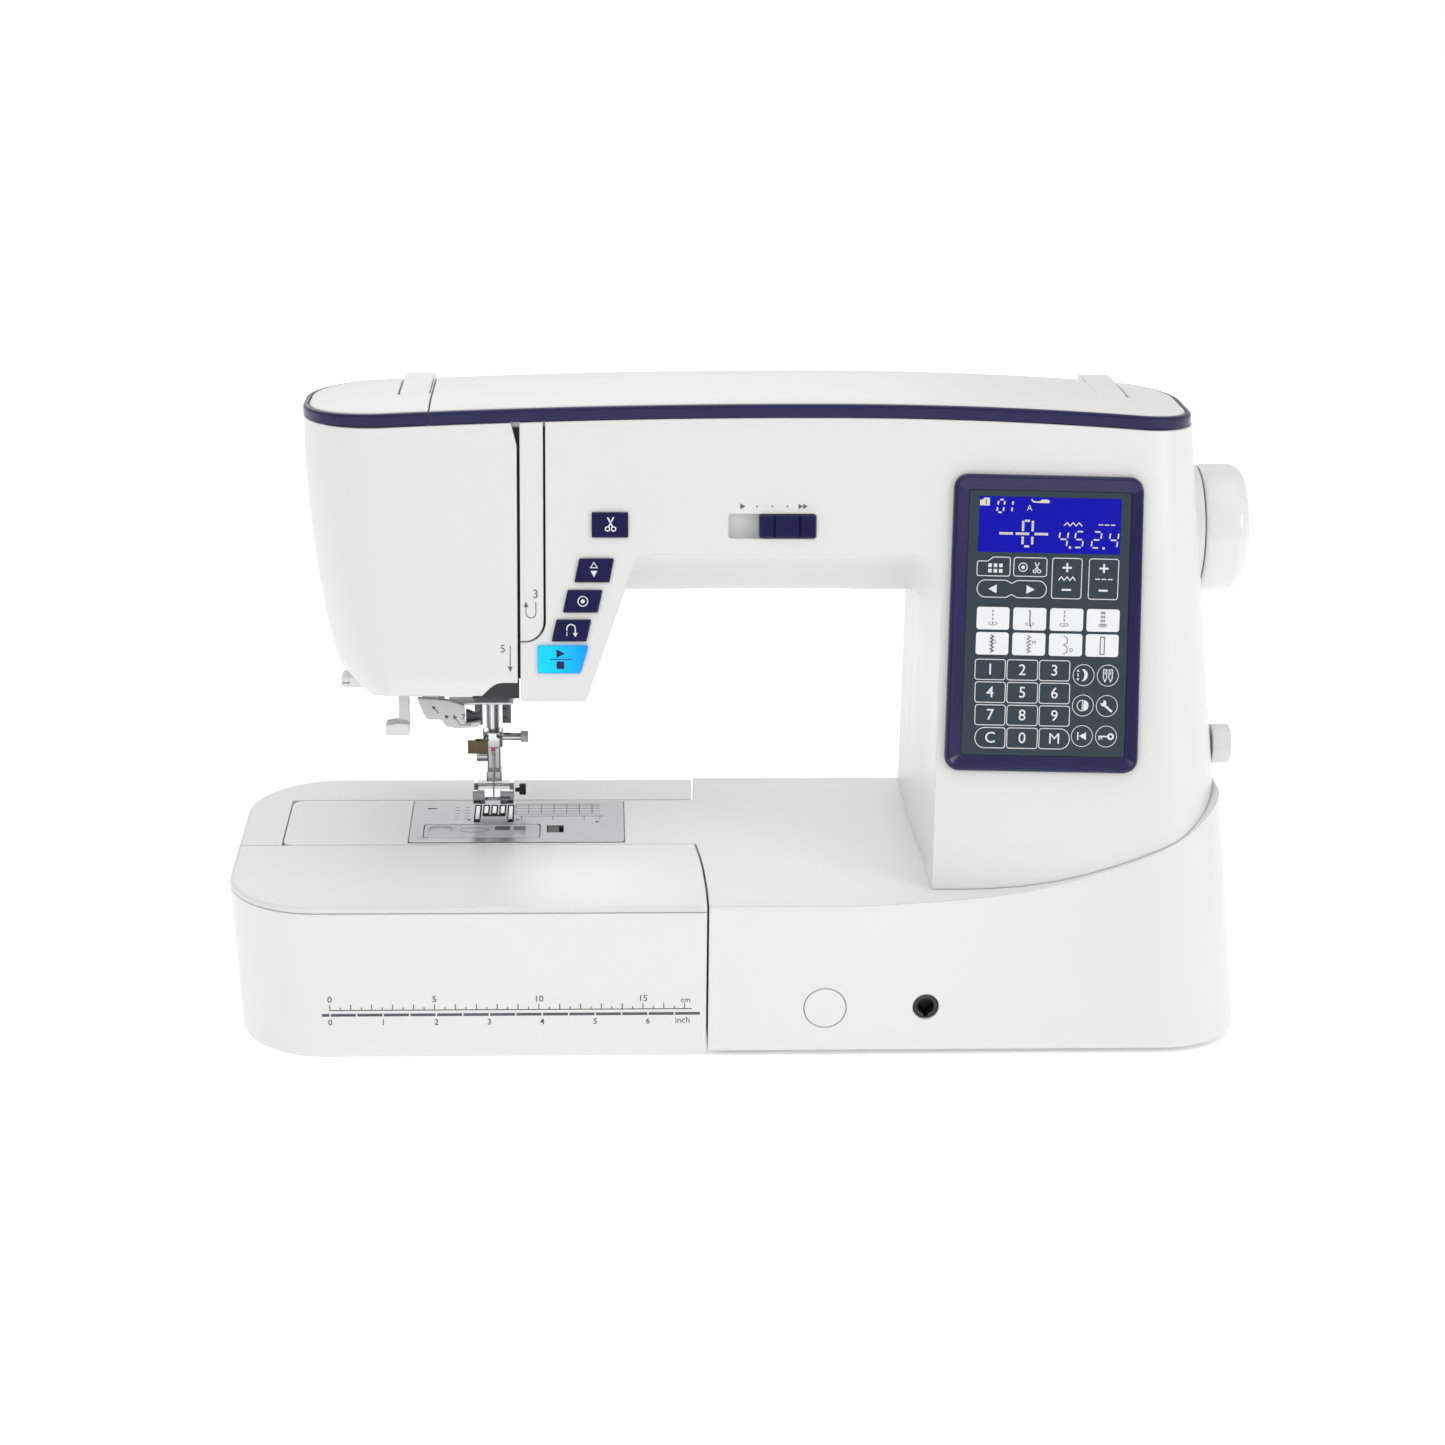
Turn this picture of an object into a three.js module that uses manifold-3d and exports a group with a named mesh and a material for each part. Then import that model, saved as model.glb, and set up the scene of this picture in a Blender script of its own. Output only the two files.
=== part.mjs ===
// A computerised domestic sewing machine with a flat bed, a removable extension table and a free arm.
// Millimetres, +Z up. X runs to the right, Y to the back. While modelling, X = 0 is the needle, Y = 0 the
// front face of the base and Z = 0 the table top; the whole group is then moved so that its origin is the
// middle of the footprint, on the table top.
import * as THREE from "three";
import { mergeVertices } from "three/addons/utils/BufferGeometryUtils.js";
import Module from "manifold-3d";

const wasm = await Module();
wasm.setup();

// ---------------------------------------------------------------- driving dimensions
const BED_TOP = 79;
const BED_DEPTH = 174;
const BED_GAP = 3; // under the base, filled by the rubber feet
const TABLE_LEFT = -126;
const TABLE_RIGHT = 104;
const TABLE_BOTTOM = 0.6;
const ARM = { left: -104, front: 80.8, back: 142.2, bottom: 18 }; // the free arm
const WHEEL_RIGHT = 372.8;
const HANDLE_BACK = 178;

const NEEDLE_Y = 119.5;
const SHAFT = { y: 118, z: 233, r: 4 };
const COLUMN_LEFT = 212;
const HEAD_LEFT = -87.3;
const HEAD_BOTTOM = 165;
const TOP_Z = 300; // the height at which the plan outline is drawn
const TOP_RIGHT = 340;
const ARM_UNDERSIDE = 204.5;
const FACE_FOOT_Y = 20; // the leaning front face where it meets the bed
const LEAN = 0.22;
const BACK_TOP_Y = 160;
const BACK_LEAN = 0.0633;
const FLARE = 0.0945; // the right wall's outward slope towards the base
const WALL = 2.8;
const GAP = 0.4;
const TRIM_HEIGHT = 7;
const CAP_SEAM = -26.5;
const THREAD_SLOT = { left: 15, right: 16.2 };
const GUIDE_SLOT = { left: 27.5, right: 28.7 };
const GUIDE_BOTTOM = 197;
const COVER_SPLIT_Y = 124;

const PLATE = { left: -41.6, right: 66.2, front: 83, back: 140, top: 79.3, thick: 2 };
const HOOK = { x: 0, y: NEEDLE_Y - 17.8, r: 17 };
const FEED = { centres: [-8.4, -4.2, 0, 4.2, 8.4], width: 2.4, front: 112.5, back: 131.8, half: 120.9 };

const frontY = (z) => FACE_FOOT_Y + (z - BED_TOP) * LEAN;
const backY = (z) => BACK_TOP_Y + (TOP_Z - z) * BACK_LEAN;
const rightX = (z) => TOP_RIGHT + (TOP_Z - z) * FLARE;

// ---------------------------------------------------------------- solids
const solid = (geometry) => {
  const bare = geometry.index ? geometry.toNonIndexed() : geometry.clone();
  bare.deleteAttribute("normal");
  bare.deleteAttribute("uv");
  const merged = mergeVertices(bare, 1e-3);
  const mesh = { numProp: 3, vertProperties: merged.attributes.position.array,
    triVerts: merged.index.array };
  return new wasm.Manifold(new wasm.Mesh(mesh));
};

const geometryOf = (manifold) => {
  const mesh = manifold.getMesh();
  const geometry = new THREE.BufferGeometry();
  geometry.setAttribute("position", new THREE.BufferAttribute(mesh.vertProperties, 3));
  geometry.setIndex(new THREE.BufferAttribute(mesh.triVerts, 1));
  geometry.computeVertexNormals();
  return geometry;
};

const join = (...solids) => solids.reduce((all, one) => all.add(one));
const cut = (from, ...solids) => solids.reduce((left, one) => left.subtract(one), from);

// Points round a polygon whose corners are [x, y, radius]; every rounded corner has the same number of
// points.
const rounded = (corners, segments = 6) => {
  const points = [];
  corners.forEach(([x, y, radius = 0], i) => {
    const here = new THREE.Vector2(x, y);
    if (!radius) return points.push(here);
    const [px, py] = corners[(i + corners.length - 1) % corners.length];
    const [nx, ny] = corners[(i + 1) % corners.length];
    const before = new THREE.Vector2(px - x, py - y).normalize();
    const after = new THREE.Vector2(nx - x, ny - y).normalize();
    const half = Math.acos(THREE.MathUtils.clamp(before.dot(after), -1, 1)) / 2;
    const middle = before.clone().add(after).normalize();
    const centre = here.clone().addScaledVector(middle, radius / Math.sin(half));
    const start = here.clone().addScaledVector(before, radius / Math.tan(half)).sub(centre);
    const side = Math.sign(before.cross(after));
    const sweep = side * -1 * (Math.PI - 2 * half);
    for (let s = 0; s <= segments; s++) {
      points.push(start.clone().rotateAround(new THREE.Vector2(), (sweep * s) / segments).add(centre));
    }
    return points;
  });
  return points;
};

const shapeOf = (points) => new THREE.Shape(points);
const rectangle = (x0, y0, x1, y1, r = 0) => rounded([[x0, y0, r], [x1, y0, r], [x1, y1, r], [x0, y1, r]],
  4);
const extruded = (points, depth, steps = 1) =>
  new THREE.ExtrudeGeometry(shapeOf(points), { depth, steps, bevelEnabled: false });

// Outlines drawn in XY, XZ and YZ and pushed along the third axis.
const alongZ = (points, z0, z1, steps) => extruded(points, z1 - z0, steps).translate(0, 0, z0);
const alongY = (points, y0, y1) => extruded(points, y1 - y0).rotateX(Math.PI / 2).translate(0, y1, 0);
const axesYZX = new THREE.Matrix4().makeBasis(
  new THREE.Vector3(0, 1, 0), new THREE.Vector3(0, 0, 1), new THREE.Vector3(1, 0, 0));
const alongX = (points, x0, x1) => extruded(points, x1 - x0).applyMatrix4(axesYZX).translate(x0, 0, 0);

const box = (x0, x1, y0, y1, z0, z1) => solid(alongZ(rectangle(x0, y0, x1, y1), z0, z1));
const softBox = (x0, x1, y0, y1, z0, z1, r) => solid(alongZ(rectangle(x0, y0, x1, y1, r), z0, z1));
const rod = (r, length, segments) => new THREE.CylinderGeometry(r, r, length, segments);
const rodX = (r, x0, x1, y, z, segments = 24) =>
  solid(rod(r, x1 - x0, segments).rotateZ(Math.PI / 2).translate((x0 + x1) / 2, y, z));
const rodY = (r, y0, y1, x, z, segments = 24) => solid(rod(r, y1 - y0, segments).translate(x, (y0 + y1) / 2,
  z));
const rodZ = (r, z0, z1, x, y, segments = 24) =>
  solid(rod(r, z1 - z0, segments).rotateX(Math.PI / 2).translate(x, y, (z0 + z1) / 2));

// A turned piece: the profile is [radius, height] pairs, and the axis is then laid along Z or X.
const turnedZ = (profile, x, y, segments = 28) =>
  solid(new THREE.LatheGeometry(profile.map((p) => new THREE.Vector2(...p)), segments)
    .rotateX(Math.PI / 2).translate(x, y, 0));
const turnedX = (profile, y, z, segments = 28) =>
  solid(new THREE.LatheGeometry(profile.map((p) => new THREE.Vector2(...p)), segments)
    .rotateZ(-Math.PI / 2).translate(0, y, z));

const warped = (geometry, move) => {
  const at = geometry.attributes.position;
  const v = new THREE.Vector3();
  for (let i = 0; i < at.count; i++) {
    v.fromBufferAttribute(at, i);
    move(v);
    at.setXYZ(i, v.x, v.y, v.z);
  }
  return geometry;
};

// A solid between two outlines in XZ with the same number of points, one at y0 and one at y1.
const ruled = (first, last, y0, y1) =>
  warped(alongY(first, y0, y1), (v) => {
    if (v.y < y1 - 1e-3) return;
    const i = first.findIndex((p) => Math.abs(p.x - v.x) < 1e-3 && Math.abs(p.y - v.z) < 1e-3);
    v.x = last[i].x;
    v.z = last[i].y;
  });

// The leaning front face's own frame: u to the right, v up the slope from the bed, w out of the face.
const slope = new THREE.Vector3(0, LEAN, 1).normalize();
const faceFrame = new THREE.Matrix4()
  .makeBasis(new THREE.Vector3(1, 0, 0), slope, new THREE.Vector3(1, 0, 0).cross(slope))
  .setPosition(0, FACE_FOOT_Y, BED_TOP);
const upFace = (z) => (z - BED_TOP) / slope.z;
const onFace = (points, w0, w1) => solid(extruded(points, w1 - w0).translate(0, 0,
  w0).applyMatrix4(faceFrame));

// ---------------------------------------------------------------- the upper casing: head, arm and column
// The underside of the trim round the top rises in a long arch.
const archZ = (x) => 300.5 - 1.16e-4 * (x - 165) ** 2 - 1.35e-4 * Math.max(0, x - 165) ** 2;
const archSide = (lift, x0, x1, count = 14) =>
  Array.from({ length: count + 1 }, (_, i) => {
    const x = x0 + ((x1 - x0) * i) / count;
    return new THREE.Vector2(x, archZ(x) + lift);
  });

const planOutline = (inset) =>
  rounded([
    [HEAD_LEFT + inset, frontY(TOP_Z) + inset, 42 - inset],
    [TOP_RIGHT - inset, frontY(TOP_Z) + inset, 28 - inset],
    [TOP_RIGHT - inset, BACK_TOP_Y - inset, 36 - inset],
    [HEAD_LEFT + inset, BACK_TOP_Y - inset, 34 - inset],
  ], 7);

// Leans the front and back faces and flares the right end.
const leaned = (v) => {
  const share = (v.y - frontY(TOP_Z)) / (BACK_TOP_Y - frontY(TOP_Z));
  v.y = frontY(v.z) + share * (backY(v.z) - frontY(v.z));
  v.x += (rightX(v.z) - TOP_RIGHT) * Math.max(0, (v.x - 200) / (TOP_RIGHT - 200));
};
const planBlock = (inset, z0, z1) => solid(warped(alongZ(planOutline(inset), z0, z1), leaned));

const HEAD_SIDE = [[-60, 165], [-69.5, 173], [-75, 185], [-80, 200], [-83.4, 214], [-86.4, 236], [-88, 262],
  [-89, 330]];
const SLANT = 0.36; // the head's right side: X gained for each mm up
const slantX = (z) => 46 + (z - HEAD_BOTTOM) * SLANT;

const frontOutline = (inset) => [
  ...new THREE.SplineCurve(HEAD_SIDE.map(([x, z]) => new THREE.Vector2(x + inset,
    z + (z < 170 ? inset : 0))))
    .getPoints(12).reverse(),
  ...rounded([
    [slantX(HEAD_BOTTOM) - inset, HEAD_BOTTOM + inset, 0],
    [slantX(ARM_UNDERSIDE) - inset, ARM_UNDERSIDE + inset, 0],
    [COLUMN_LEFT + inset, ARM_UNDERSIDE + inset, 6],
    [COLUMN_LEFT + inset, 60, 0],
    [420, 60, 0],
    [420, 330, 0],
  ], 5),
];

// The space under the arm opens out towards the front.
const SPLAY = { backY: 105, frontY: 56, top: 238, side: 218 };
const splayCutter = (grow) => {
  const outline = (top, side, radius) =>
    rounded([
      [slantX(HEAD_BOTTOM) - grow, HEAD_BOTTOM + grow, 0],
      [slantX(top) - grow, top + grow, 0],
      [side + grow, top + grow, radius],
      [side + grow, 60, 0],
      [slantX(HEAD_BOTTOM) - grow, 60, 0],
    ], 6);
  const wide = outline(SPLAY.top, SPLAY.side, 16);
  const narrow = outline(ARM_UNDERSIDE, COLUMN_LEFT, 6);
  return join(solid(ruled(wide, narrow, SPLAY.frontY, SPLAY.backY)),
    solid(alongY(wide, -10, SPLAY.frontY)));
};

const upperBlock = (inset) =>
  cut(planBlock(inset, 60, 325).intersect(solid(alongY(frontOutline(inset), -20, 220))),
    splayCutter(inset));

// The curve along which the casing meets the base: level at the bed, then rising round the right end.
const SEAM = [[212, 79], [244, 79], [262, 80.6], [281, 84], [301, 89], [319, 95], [335, 102], [349, 111],
  [360, 122.5], [368, 138]];
const seamCurve = new THREE.SplineCurve(SEAM.map(([x, z]) => new THREE.Vector2(x, z))).getPoints(20);
const belowSeam = (lift) =>
  solid(alongY([
    ...seamCurve.map((p) => new THREE.Vector2(p.x, p.y + lift)),
    new THREE.Vector2(430, 200),
    new THREE.Vector2(430, -20),
    new THREE.Vector2(90, -20),
    new THREE.Vector2(90, BED_TOP + lift),
  ].reverse(), -20, 220));
const aboveTrim = solid(alongY([...archSide(0, -100, 420), new THREE.Vector2(420, 340),
  new THREE.Vector2(-100, 340)],
  -20, 220));

// The carrying handle's two flat arms lie in notches across the top and reach over the back edge.
const HANDLE = { y: 112, z: 296.4, boss: 5.4, arms: [[-42.4, -28.2], [297, 311]] };
const handleNotches = HANDLE.arms.map(([x0, x1]) => box(x0 - 0.8, x1 + 0.8, HANDLE.y - 6.6, 230,
  HANDLE.z - 9, 330));

const WHEEL_SEAT = 350;
const shell = cut(join(upperBlock(0), rodX(28.5, 338, WHEEL_SEAT, SHAFT.y, SHAFT.z, 32)),
  cut(upperBlock(WALL), box(-200, 500, -20, 250, 0, 50)), aboveTrim, belowSeam(GAP));
const faceOf = (x0, x1) => box(x0, x1, -20, COVER_SPLIT_Y, 100, 330);
const bottomMouth = box(-56, 40, 64, 152, 150, 172);

const guideOutline = rounded([
  [THREAD_SLOT.right + 0.1, GUIDE_BOTTOM, 0],
  [GUIDE_SLOT.left, GUIDE_BOTTOM, 9],
  [GUIDE_SLOT.left, 330, 0],
  [THREAD_SLOT.right + 0.1, 330, 0],
], 5);
const guideOpening = rounded([
  [THREAD_SLOT.left - 0.1, GUIDE_BOTTOM - 0.9, 0],
  [GUIDE_SLOT.right, GUIDE_BOTTOM - 0.9, 9.6],
  [GUIDE_SLOT.right, 330, 0],
  [THREAD_SLOT.left - 0.1, 330, 0],
], 5);
const threadMouth = solid(alongY([[11.5, 300], [THREAD_SLOT.left, 288], [17, 288], [17, 300]]
  .map(([x, z]) => new THREE.Vector2(x, z)), 40, 90));

// ---------------------------------------------------------------- controls on the leaning face
const BUTTONS = {
  thread_cutter_button: [[51, 245.5], [67, 245.5], [67, 257], [51, 257]],
  needle_position_button: [[43, 224], [58, 224], [61, 235], [46, 235]],
  lock_stitch_button: [[37, 210], [51.6, 210], [55, 220], [40, 220]],
  reverse_button: [[31.2, 196], [46, 196], [49.4, 205.4], [34.6, 205.4]],
  start_stop_button: [[24, 181], [43.4, 181], [47.4, 193.4], [24, 193.4]],
};
const onSlope = (corners, radius, grow = 0) => {
  const cx = corners.reduce((sum, [x]) => sum + x, 0) / corners.length;
  const cz = corners.reduce((sum, [, z]) => sum + z, 0) / corners.length;
  return rounded(corners.map(([x, z]) => [x + Math.sign(x - cx) * grow,
    upFace(z + Math.sign(z - cz) * grow), radius]), 3);
};
const buttonHoles = Object.values(BUTTONS).map((corners) => onFace(onSlope(corners, 1.5, 0.35), -12, 8));

const SLIDER = { left: 115.4, right: 157, low: 245, high: 257.3, knob: 27 };
const sliderSlot = onFace(rectangle(SLIDER.left, upFace(SLIDER.low), SLIDER.right, upFace(SLIDER.high),
  1.2), -14, 8);

const PANEL = { x: 267.6, z: 204.8, width: 91.6, height: 142, border: 8, turn: -1.2 };
const panelPoints = (inset, radius) => {
  const w = PANEL.width / 2 - inset;
  const h = PANEL.height / 2 - inset;
  const turn = THREE.MathUtils.degToRad(PANEL.turn);
  const centre = new THREE.Vector2(PANEL.x, upFace(PANEL.z));
  return rectangle(-w, -h, w, h, radius).map((p) => p.rotateAround(new THREE.Vector2(), turn).add(centre));
};

// ---------------------------------------------------------------- the casing parts
const parts = new THREE.Group();
const material = (color, roughness, metalness = 0) => new THREE.MeshStandardMaterial({ color, roughness,
  metalness });
const WHITE = material(0xe9e8e4, 0.42);
const NAVY = material(0x25244f, 0.25);
const BLACK = material(0x1c1d20, 0.5);
const STEEL = material(0xb9bcc0, 0.25, 1);
const CAST = material(0x8f9396, 0.6, 0.8);
const RUBBER = material(0x2a2a2c, 0.85);

const add = (name, manifold, look) => {
  const mesh = new THREE.Mesh(geometryOf(manifold), look);
  mesh.name = name;
  parts.add(mesh);
};

const shaftHole = rodX(12, 330, 362, SHAFT.y, SHAFT.z);
const DIAL = { y: 75, z: 134, r: 9.7, left: 357.4, right: 365.6 };
const dialHole = rodX(4, 340, 370, DIAL.y, DIAL.z);
const lifterSlot = box(9, 25, 150, 185, 170, 200);

const frontShell = cut(
  shell.intersect(box(THREAD_SLOT.right, 430, -20, COVER_SPLIT_Y, 50, 330)),
  solid(alongY(guideOpening, -20, 110)),
  bottomMouth, shaftHole, sliderSlot, ...buttonHoles,
  onFace(panelPoints(5, 3), -12, 12),
  dialHole,
  softBox(96, 179, 106, 122, 190, 215, 5),
);
add("front_cover", frontShell, WHITE);

const rearShell = cut(
  shell.intersect(box(-120, 430, COVER_SPLIT_Y + GAP, 230, 50, 330)),
  bottomMouth, shaftHole, lifterSlot, ...handleNotches,
);
add("rear_cover", rearShell, WHITE);

const lowerScoop = solid(alongY(rounded([[-5, 150, 0], [16, 150, 0], [16, 175.4, 0], [5, 175.4, 5],
  [-5, 167, 0]], 3), 30, 70));
add("face_cover", cut(shell.intersect(faceOf(-120, THREAD_SLOT.left)), bottomMouth, threadMouth,
  lowerScoop), WHITE);
add("thread_guide_cover", cut(
  planBlock(0, 100, 325).intersect(solid(alongY(guideOutline, 30, 110))),
  planBlock(WALL, 90, 326), aboveTrim,
), WHITE);

// The top: a fixed cap over the head and a lid over the arm, each edged by a trim.
const TOP_FALL = 0.045;
const topBlock = (lift, low = 0.3) =>
  solid(warped(alongY([...archSide(low, -100, 420), ...archSide(lift, -100, 420).reverse()], 40, 200),
    (v) => {
    if (v.z > archZ(v.x) + 1) v.z -= (v.y - 70) * TOP_FALL;
  }));
const trimRing = cut(planBlock(0, 260, 330), planBlock(2.4, 250, 340));
const trim = trimRing.intersect(topBlock(TRIM_HEIGHT - 0.5));
const topSkin = cut(
  planBlock(2.7, 260, 330).intersect(topBlock(TRIM_HEIGHT)),
  planBlock(2.7 + WALL, 250, 340).intersect(topBlock(TRIM_HEIGHT - 2.4, -12)),
);
const capSide = box(-120, CAP_SEAM - GAP, 0, 230, 200, 330);
const lidSide = box(CAP_SEAM + GAP, 430, 0, 230, 200, 330);
add("top_cap", cut(topSkin.intersect(capSide), ...handleNotches), WHITE);
add("top_cap_trim", cut(trim.intersect(capSide), box(-44.8, 0, 140, 230, 280, 330)), NAVY);
add("top_lid", cut(topSkin.intersect(lidSide), ...handleNotches), WHITE);
add("top_lid_trim", cut(trim.intersect(lidSide), box(-50, 317.8, 140, 230, 280, 330)), NAVY);

// The carrying handle is folded back, with its grip lying behind the top edge.
const GRIP = { y: 172, z: 285, r: 6 };
const handleArm = ([x0, x1]) => {
  const strip = [
    [HANDLE.y, HANDLE.z - HANDLE.boss], [GRIP.y - 4, 290], [GRIP.y - 5.6, GRIP.z], [GRIP.y + 5.6, GRIP.z],
    [GRIP.y + 2, 297.6], [164, 299.4], [HANDLE.y, HANDLE.z + HANDLE.boss],
  ].map(([y, z]) => new THREE.Vector2(y, z));
  return join(
    solid(alongX(strip, x0, x1)),
    rodX(HANDLE.boss, x0, x1, HANDLE.y, HANDLE.z),
    rodX(GRIP.r, x0, x1, GRIP.y, GRIP.z),
  );
};
const gripEnds = [HANDLE.arms[0][0] + 1, HANDLE.arms[1][1] - 1];
add("carrying_handle", join(...HANDLE.arms.map(handleArm), rodX(GRIP.r, ...gripEnds, GRIP.y, GRIP.z)),
  WHITE);

// ---------------------------------------------------------------- base, bed and free arm
const baseOutline = (inset) =>
  rounded([
    [TABLE_RIGHT + 0.6 + inset, inset, 0],
    [TOP_RIGHT - inset, inset, 34 - inset],
    [TOP_RIGHT - inset, BED_DEPTH - inset, 30 - inset],
    [TABLE_RIGHT + 0.6 + inset, BED_DEPTH - inset, 0],
  ], 8);
// Towards the right the front of the base leans back to meet the column.
const baseLean = (v) => {
  const towards = THREE.MathUtils.smoothstep(v.x, 170, 290);
  v.x += (rightX(v.z) - TOP_RIGHT) * Math.max(0, (v.x - 200) / (TOP_RIGHT - 200));
  v.y += towards * (v.z - BED_GAP) * 0.235 * Math.max(0, 1 - v.y / (BED_DEPTH / 2));
};
const withFrontPoints = (points) => points.flatMap((p, i) => {
  const next = points[(i + 1) % points.length];
  const count = Math.abs(next.x - p.x) > 100 ? 8 : 1;
  return Array.from({ length: count }, (_, k) => p.clone().lerp(next, k / count));
});
const baseBlock = (inset, z0, z1) => solid(warped(alongZ(withFrontPoints(baseOutline(inset)), z0, z1),
  baseLean));
const armBlock = (inset, top) =>
  softBox(ARM.left + inset, TABLE_RIGHT + 12, ARM.front + inset, ARM.back - inset, ARM.bottom + inset, top,
    6);

const SOCKET = { x: 211.2, z: 25.5, r: 6.4 };
const PLUG = { x: 162.3, z: 25.8, r: 10.4 };
const plateMouth = box(PLATE.left - GAP, PLATE.right + GAP, PLATE.front - GAP, PLATE.back + GAP, 70, 90);
const SWITCH = { y: 130, z: 34 };
const DROP = { x: 40, z: 44, rest: 11 }; // the lever rests at the right end of its slot
const baseCover = cut(
  join(baseBlock(0, BED_GAP, 170).intersect(belowSeam(0)), armBlock(0, BED_TOP)),
  baseBlock(WALL, BED_GAP - 5, BED_TOP - WALL),
  armBlock(WALL, BED_TOP - WALL),
  planBlock(WALL + 0.4, 50, 190).intersect(box(COLUMN_LEFT + 14, 430, 0, 200, 50, 190)),
  rodY(SOCKET.r, -5, 12, SOCKET.x, SOCKET.z),
  rodY(PLUG.r, -5, 12, PLUG.x, PLUG.z),
  plateMouth, dialHole,
  box(355, 385, SWITCH.y - 7.5, SWITCH.y + 7.5, SWITCH.z - 11, SWITCH.z + 11),
  box(356, 385, SWITCH.y - 46, SWITCH.y - 20, SWITCH.z - 9, SWITCH.z + 9),
  box(DROP.x - 16, DROP.x + 16, 135, 150, DROP.z - 3.2, DROP.z + 3.2),
);
add("base_cover", baseCover, WHITE);
add("base_pan", cut(baseBlock(WALL + 0.5, BED_GAP, BED_GAP + 3), box(100, 108.5, 0, 200, 0, 10)), BLACK);
[["front_left", 124, 20], ["front_right", 340, 30], ["rear_left", 124, 154], ["rear_right", 340, 146]]
  .forEach(([where, x, y]) => add(`foot_${where}`, rodZ(9, 0, BED_GAP - 0.3, x, y, 20), RUBBER));
add("knee_lifter_socket", cut(
  join(rodY(SOCKET.r - 0.35, 2.2, 12, SOCKET.x, SOCKET.z), rodY(9, 6.4, 8, SOCKET.x, SOCKET.z)),
  rodY(4.1, -2, 10, SOCKET.x, SOCKET.z),
  box(SOCKET.x - 1.2, SOCKET.x + 1.2, -2, 10, SOCKET.z - 5.4, SOCKET.z),
), BLACK);
add("access_plug", join(
  rodY(PLUG.r - 0.35, 0, 3.4, PLUG.x, PLUG.z, 40), rodY(PLUG.r + 1.5, 3.2, 5, PLUG.x, PLUG.z),
), WHITE);

// ---------------------------------------------------------------- extension table with its storage lid
const tableOutline = (inset) =>
  rounded([
    [TABLE_LEFT + inset, inset, 45 - inset],
    [TABLE_RIGHT - inset, inset, 0],
    [TABLE_RIGHT - inset, BED_DEPTH - inset, 0],
    [TABLE_LEFT + inset, BED_DEPTH - inset, 45 - inset],
  ], 10);
const tableTaper = (v) => {
  v.x += (BED_TOP - v.z) * 0.05 * Math.max(0, -v.x / -TABLE_LEFT);
};
const tableBlock = (inset, z0, z1) => solid(warped(alongZ(tableOutline(inset), z0, z1), tableTaper));
const LID = { bottom: 76.2, back: 80 };
const lidZone = (grow, z0) => box(-200, 200, -20, LID.back + grow, z0, 90);
const armChannel = box(ARM.left - GAP, 200, ARM.front - GAP, ARM.back + GAP, ARM.bottom - 2.5, 100);
const storage = tableBlock(WALL, 4, 100).intersect(box(-200, 200, -20, 77, 4, 100));
const tableHollow = tableBlock(WALL, -5, BED_TOP - WALL).intersect(box(-200, 200, ARM.back + 3.4, 200, -5,
  100));
add("extension_table", cut(
  tableBlock(0, TABLE_BOTTOM, BED_TOP), armChannel, storage, tableHollow, lidZone(GAP, LID.bottom - 0.3),
), WHITE);
add("storage_lid", tableBlock(0.5, LID.bottom, BED_TOP).intersect(lidZone(0, LID.bottom)), WHITE);

// ---------------------------------------------------------------- needle plate, cover, feed and hook
const FEED_SHIFT = 3; // the dogs travel this far to the front and the back in their slots
const slotBoxes = FEED.centres.map((x, i) => {
  const inner = i > 0 && i < 4;
  return box(x - FEED.width / 2 - 0.5, x + FEED.width / 2 + 0.5,
    (inner ? FEED.half : FEED.front) + 0.6 - FEED_SHIFT,
    FEED.back + FEED_SHIFT, 60, 90);
});
const HOOK_COVER = { left: -35, right: 24, front: 89, back: 107.6 };
const RELEASE = { left: 27.2, right: 33.4, front: 96, back: 105.5, travel: 2 };
add("needle_plate", cut(
  softBox(PLATE.left, PLATE.right, PLATE.front, PLATE.back, PLATE.top - PLATE.thick, PLATE.top, 2),
  ...slotBoxes,
  softBox(-5.2, 5.2, NEEDLE_Y - 1.2, NEEDLE_Y + 1.2, 60, 90, 1.1),
  softBox(HOOK_COVER.left, HOOK_COVER.right, HOOK_COVER.front, HOOK_COVER.back, 60, 90, 1.5),
  box(RELEASE.left, RELEASE.right + RELEASE.travel + 0.3, RELEASE.front, RELEASE.back, 60, 90),
), STEEL);
add("hook_cover", join(
  softBox(HOOK_COVER.left + GAP, HOOK_COVER.right - GAP, HOOK_COVER.front + GAP, HOOK_COVER.back - GAP,
    PLATE.top - 2, PLATE.top, 1.2),
), material(0xdfe5e8, 0.1));
add("hook_cover_release", join(
  box(RELEASE.left + 0.4, RELEASE.right, RELEASE.front + 0.4, RELEASE.back - 0.4, 74.6, PLATE.top - 0.2),
  box(RELEASE.left - 2, RELEASE.right + 2, RELEASE.front - 2, RELEASE.back + 2, 74,
    PLATE.top - PLATE.thick - 0.4),
), BLACK);
const feedBars = FEED.centres.map((x, i) => {
  const inner = i > 0 && i < 4;
  return box(x - FEED.width / 2 + 0.2, x + FEED.width / 2 - 0.2, (inner ? FEED.half : FEED.front) + 0.9,
    FEED.back, 73, PLATE.top + 0.5);
});
add("feed_dog", join(box(-9.6, 9.6, 122.6, FEED.back, 72, 75),
  box(-9.6, -7.2, FEED.front + 0.9, 124, 72, 75),
  box(7.2, 9.6, FEED.front + 0.9, 124, 72, 75), ...feedBars), STEEL);
add("drop_feed_lever", join(
  box(DROP.x + DROP.rest - 4, DROP.x + DROP.rest + 4, 137, 142, DROP.z - 2.6, DROP.z + 2.6),
  box(DROP.x + DROP.rest - 14, DROP.x + DROP.rest + 14, 134.5, 138.8, DROP.z - 5, DROP.z + 5),
), WHITE);
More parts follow.
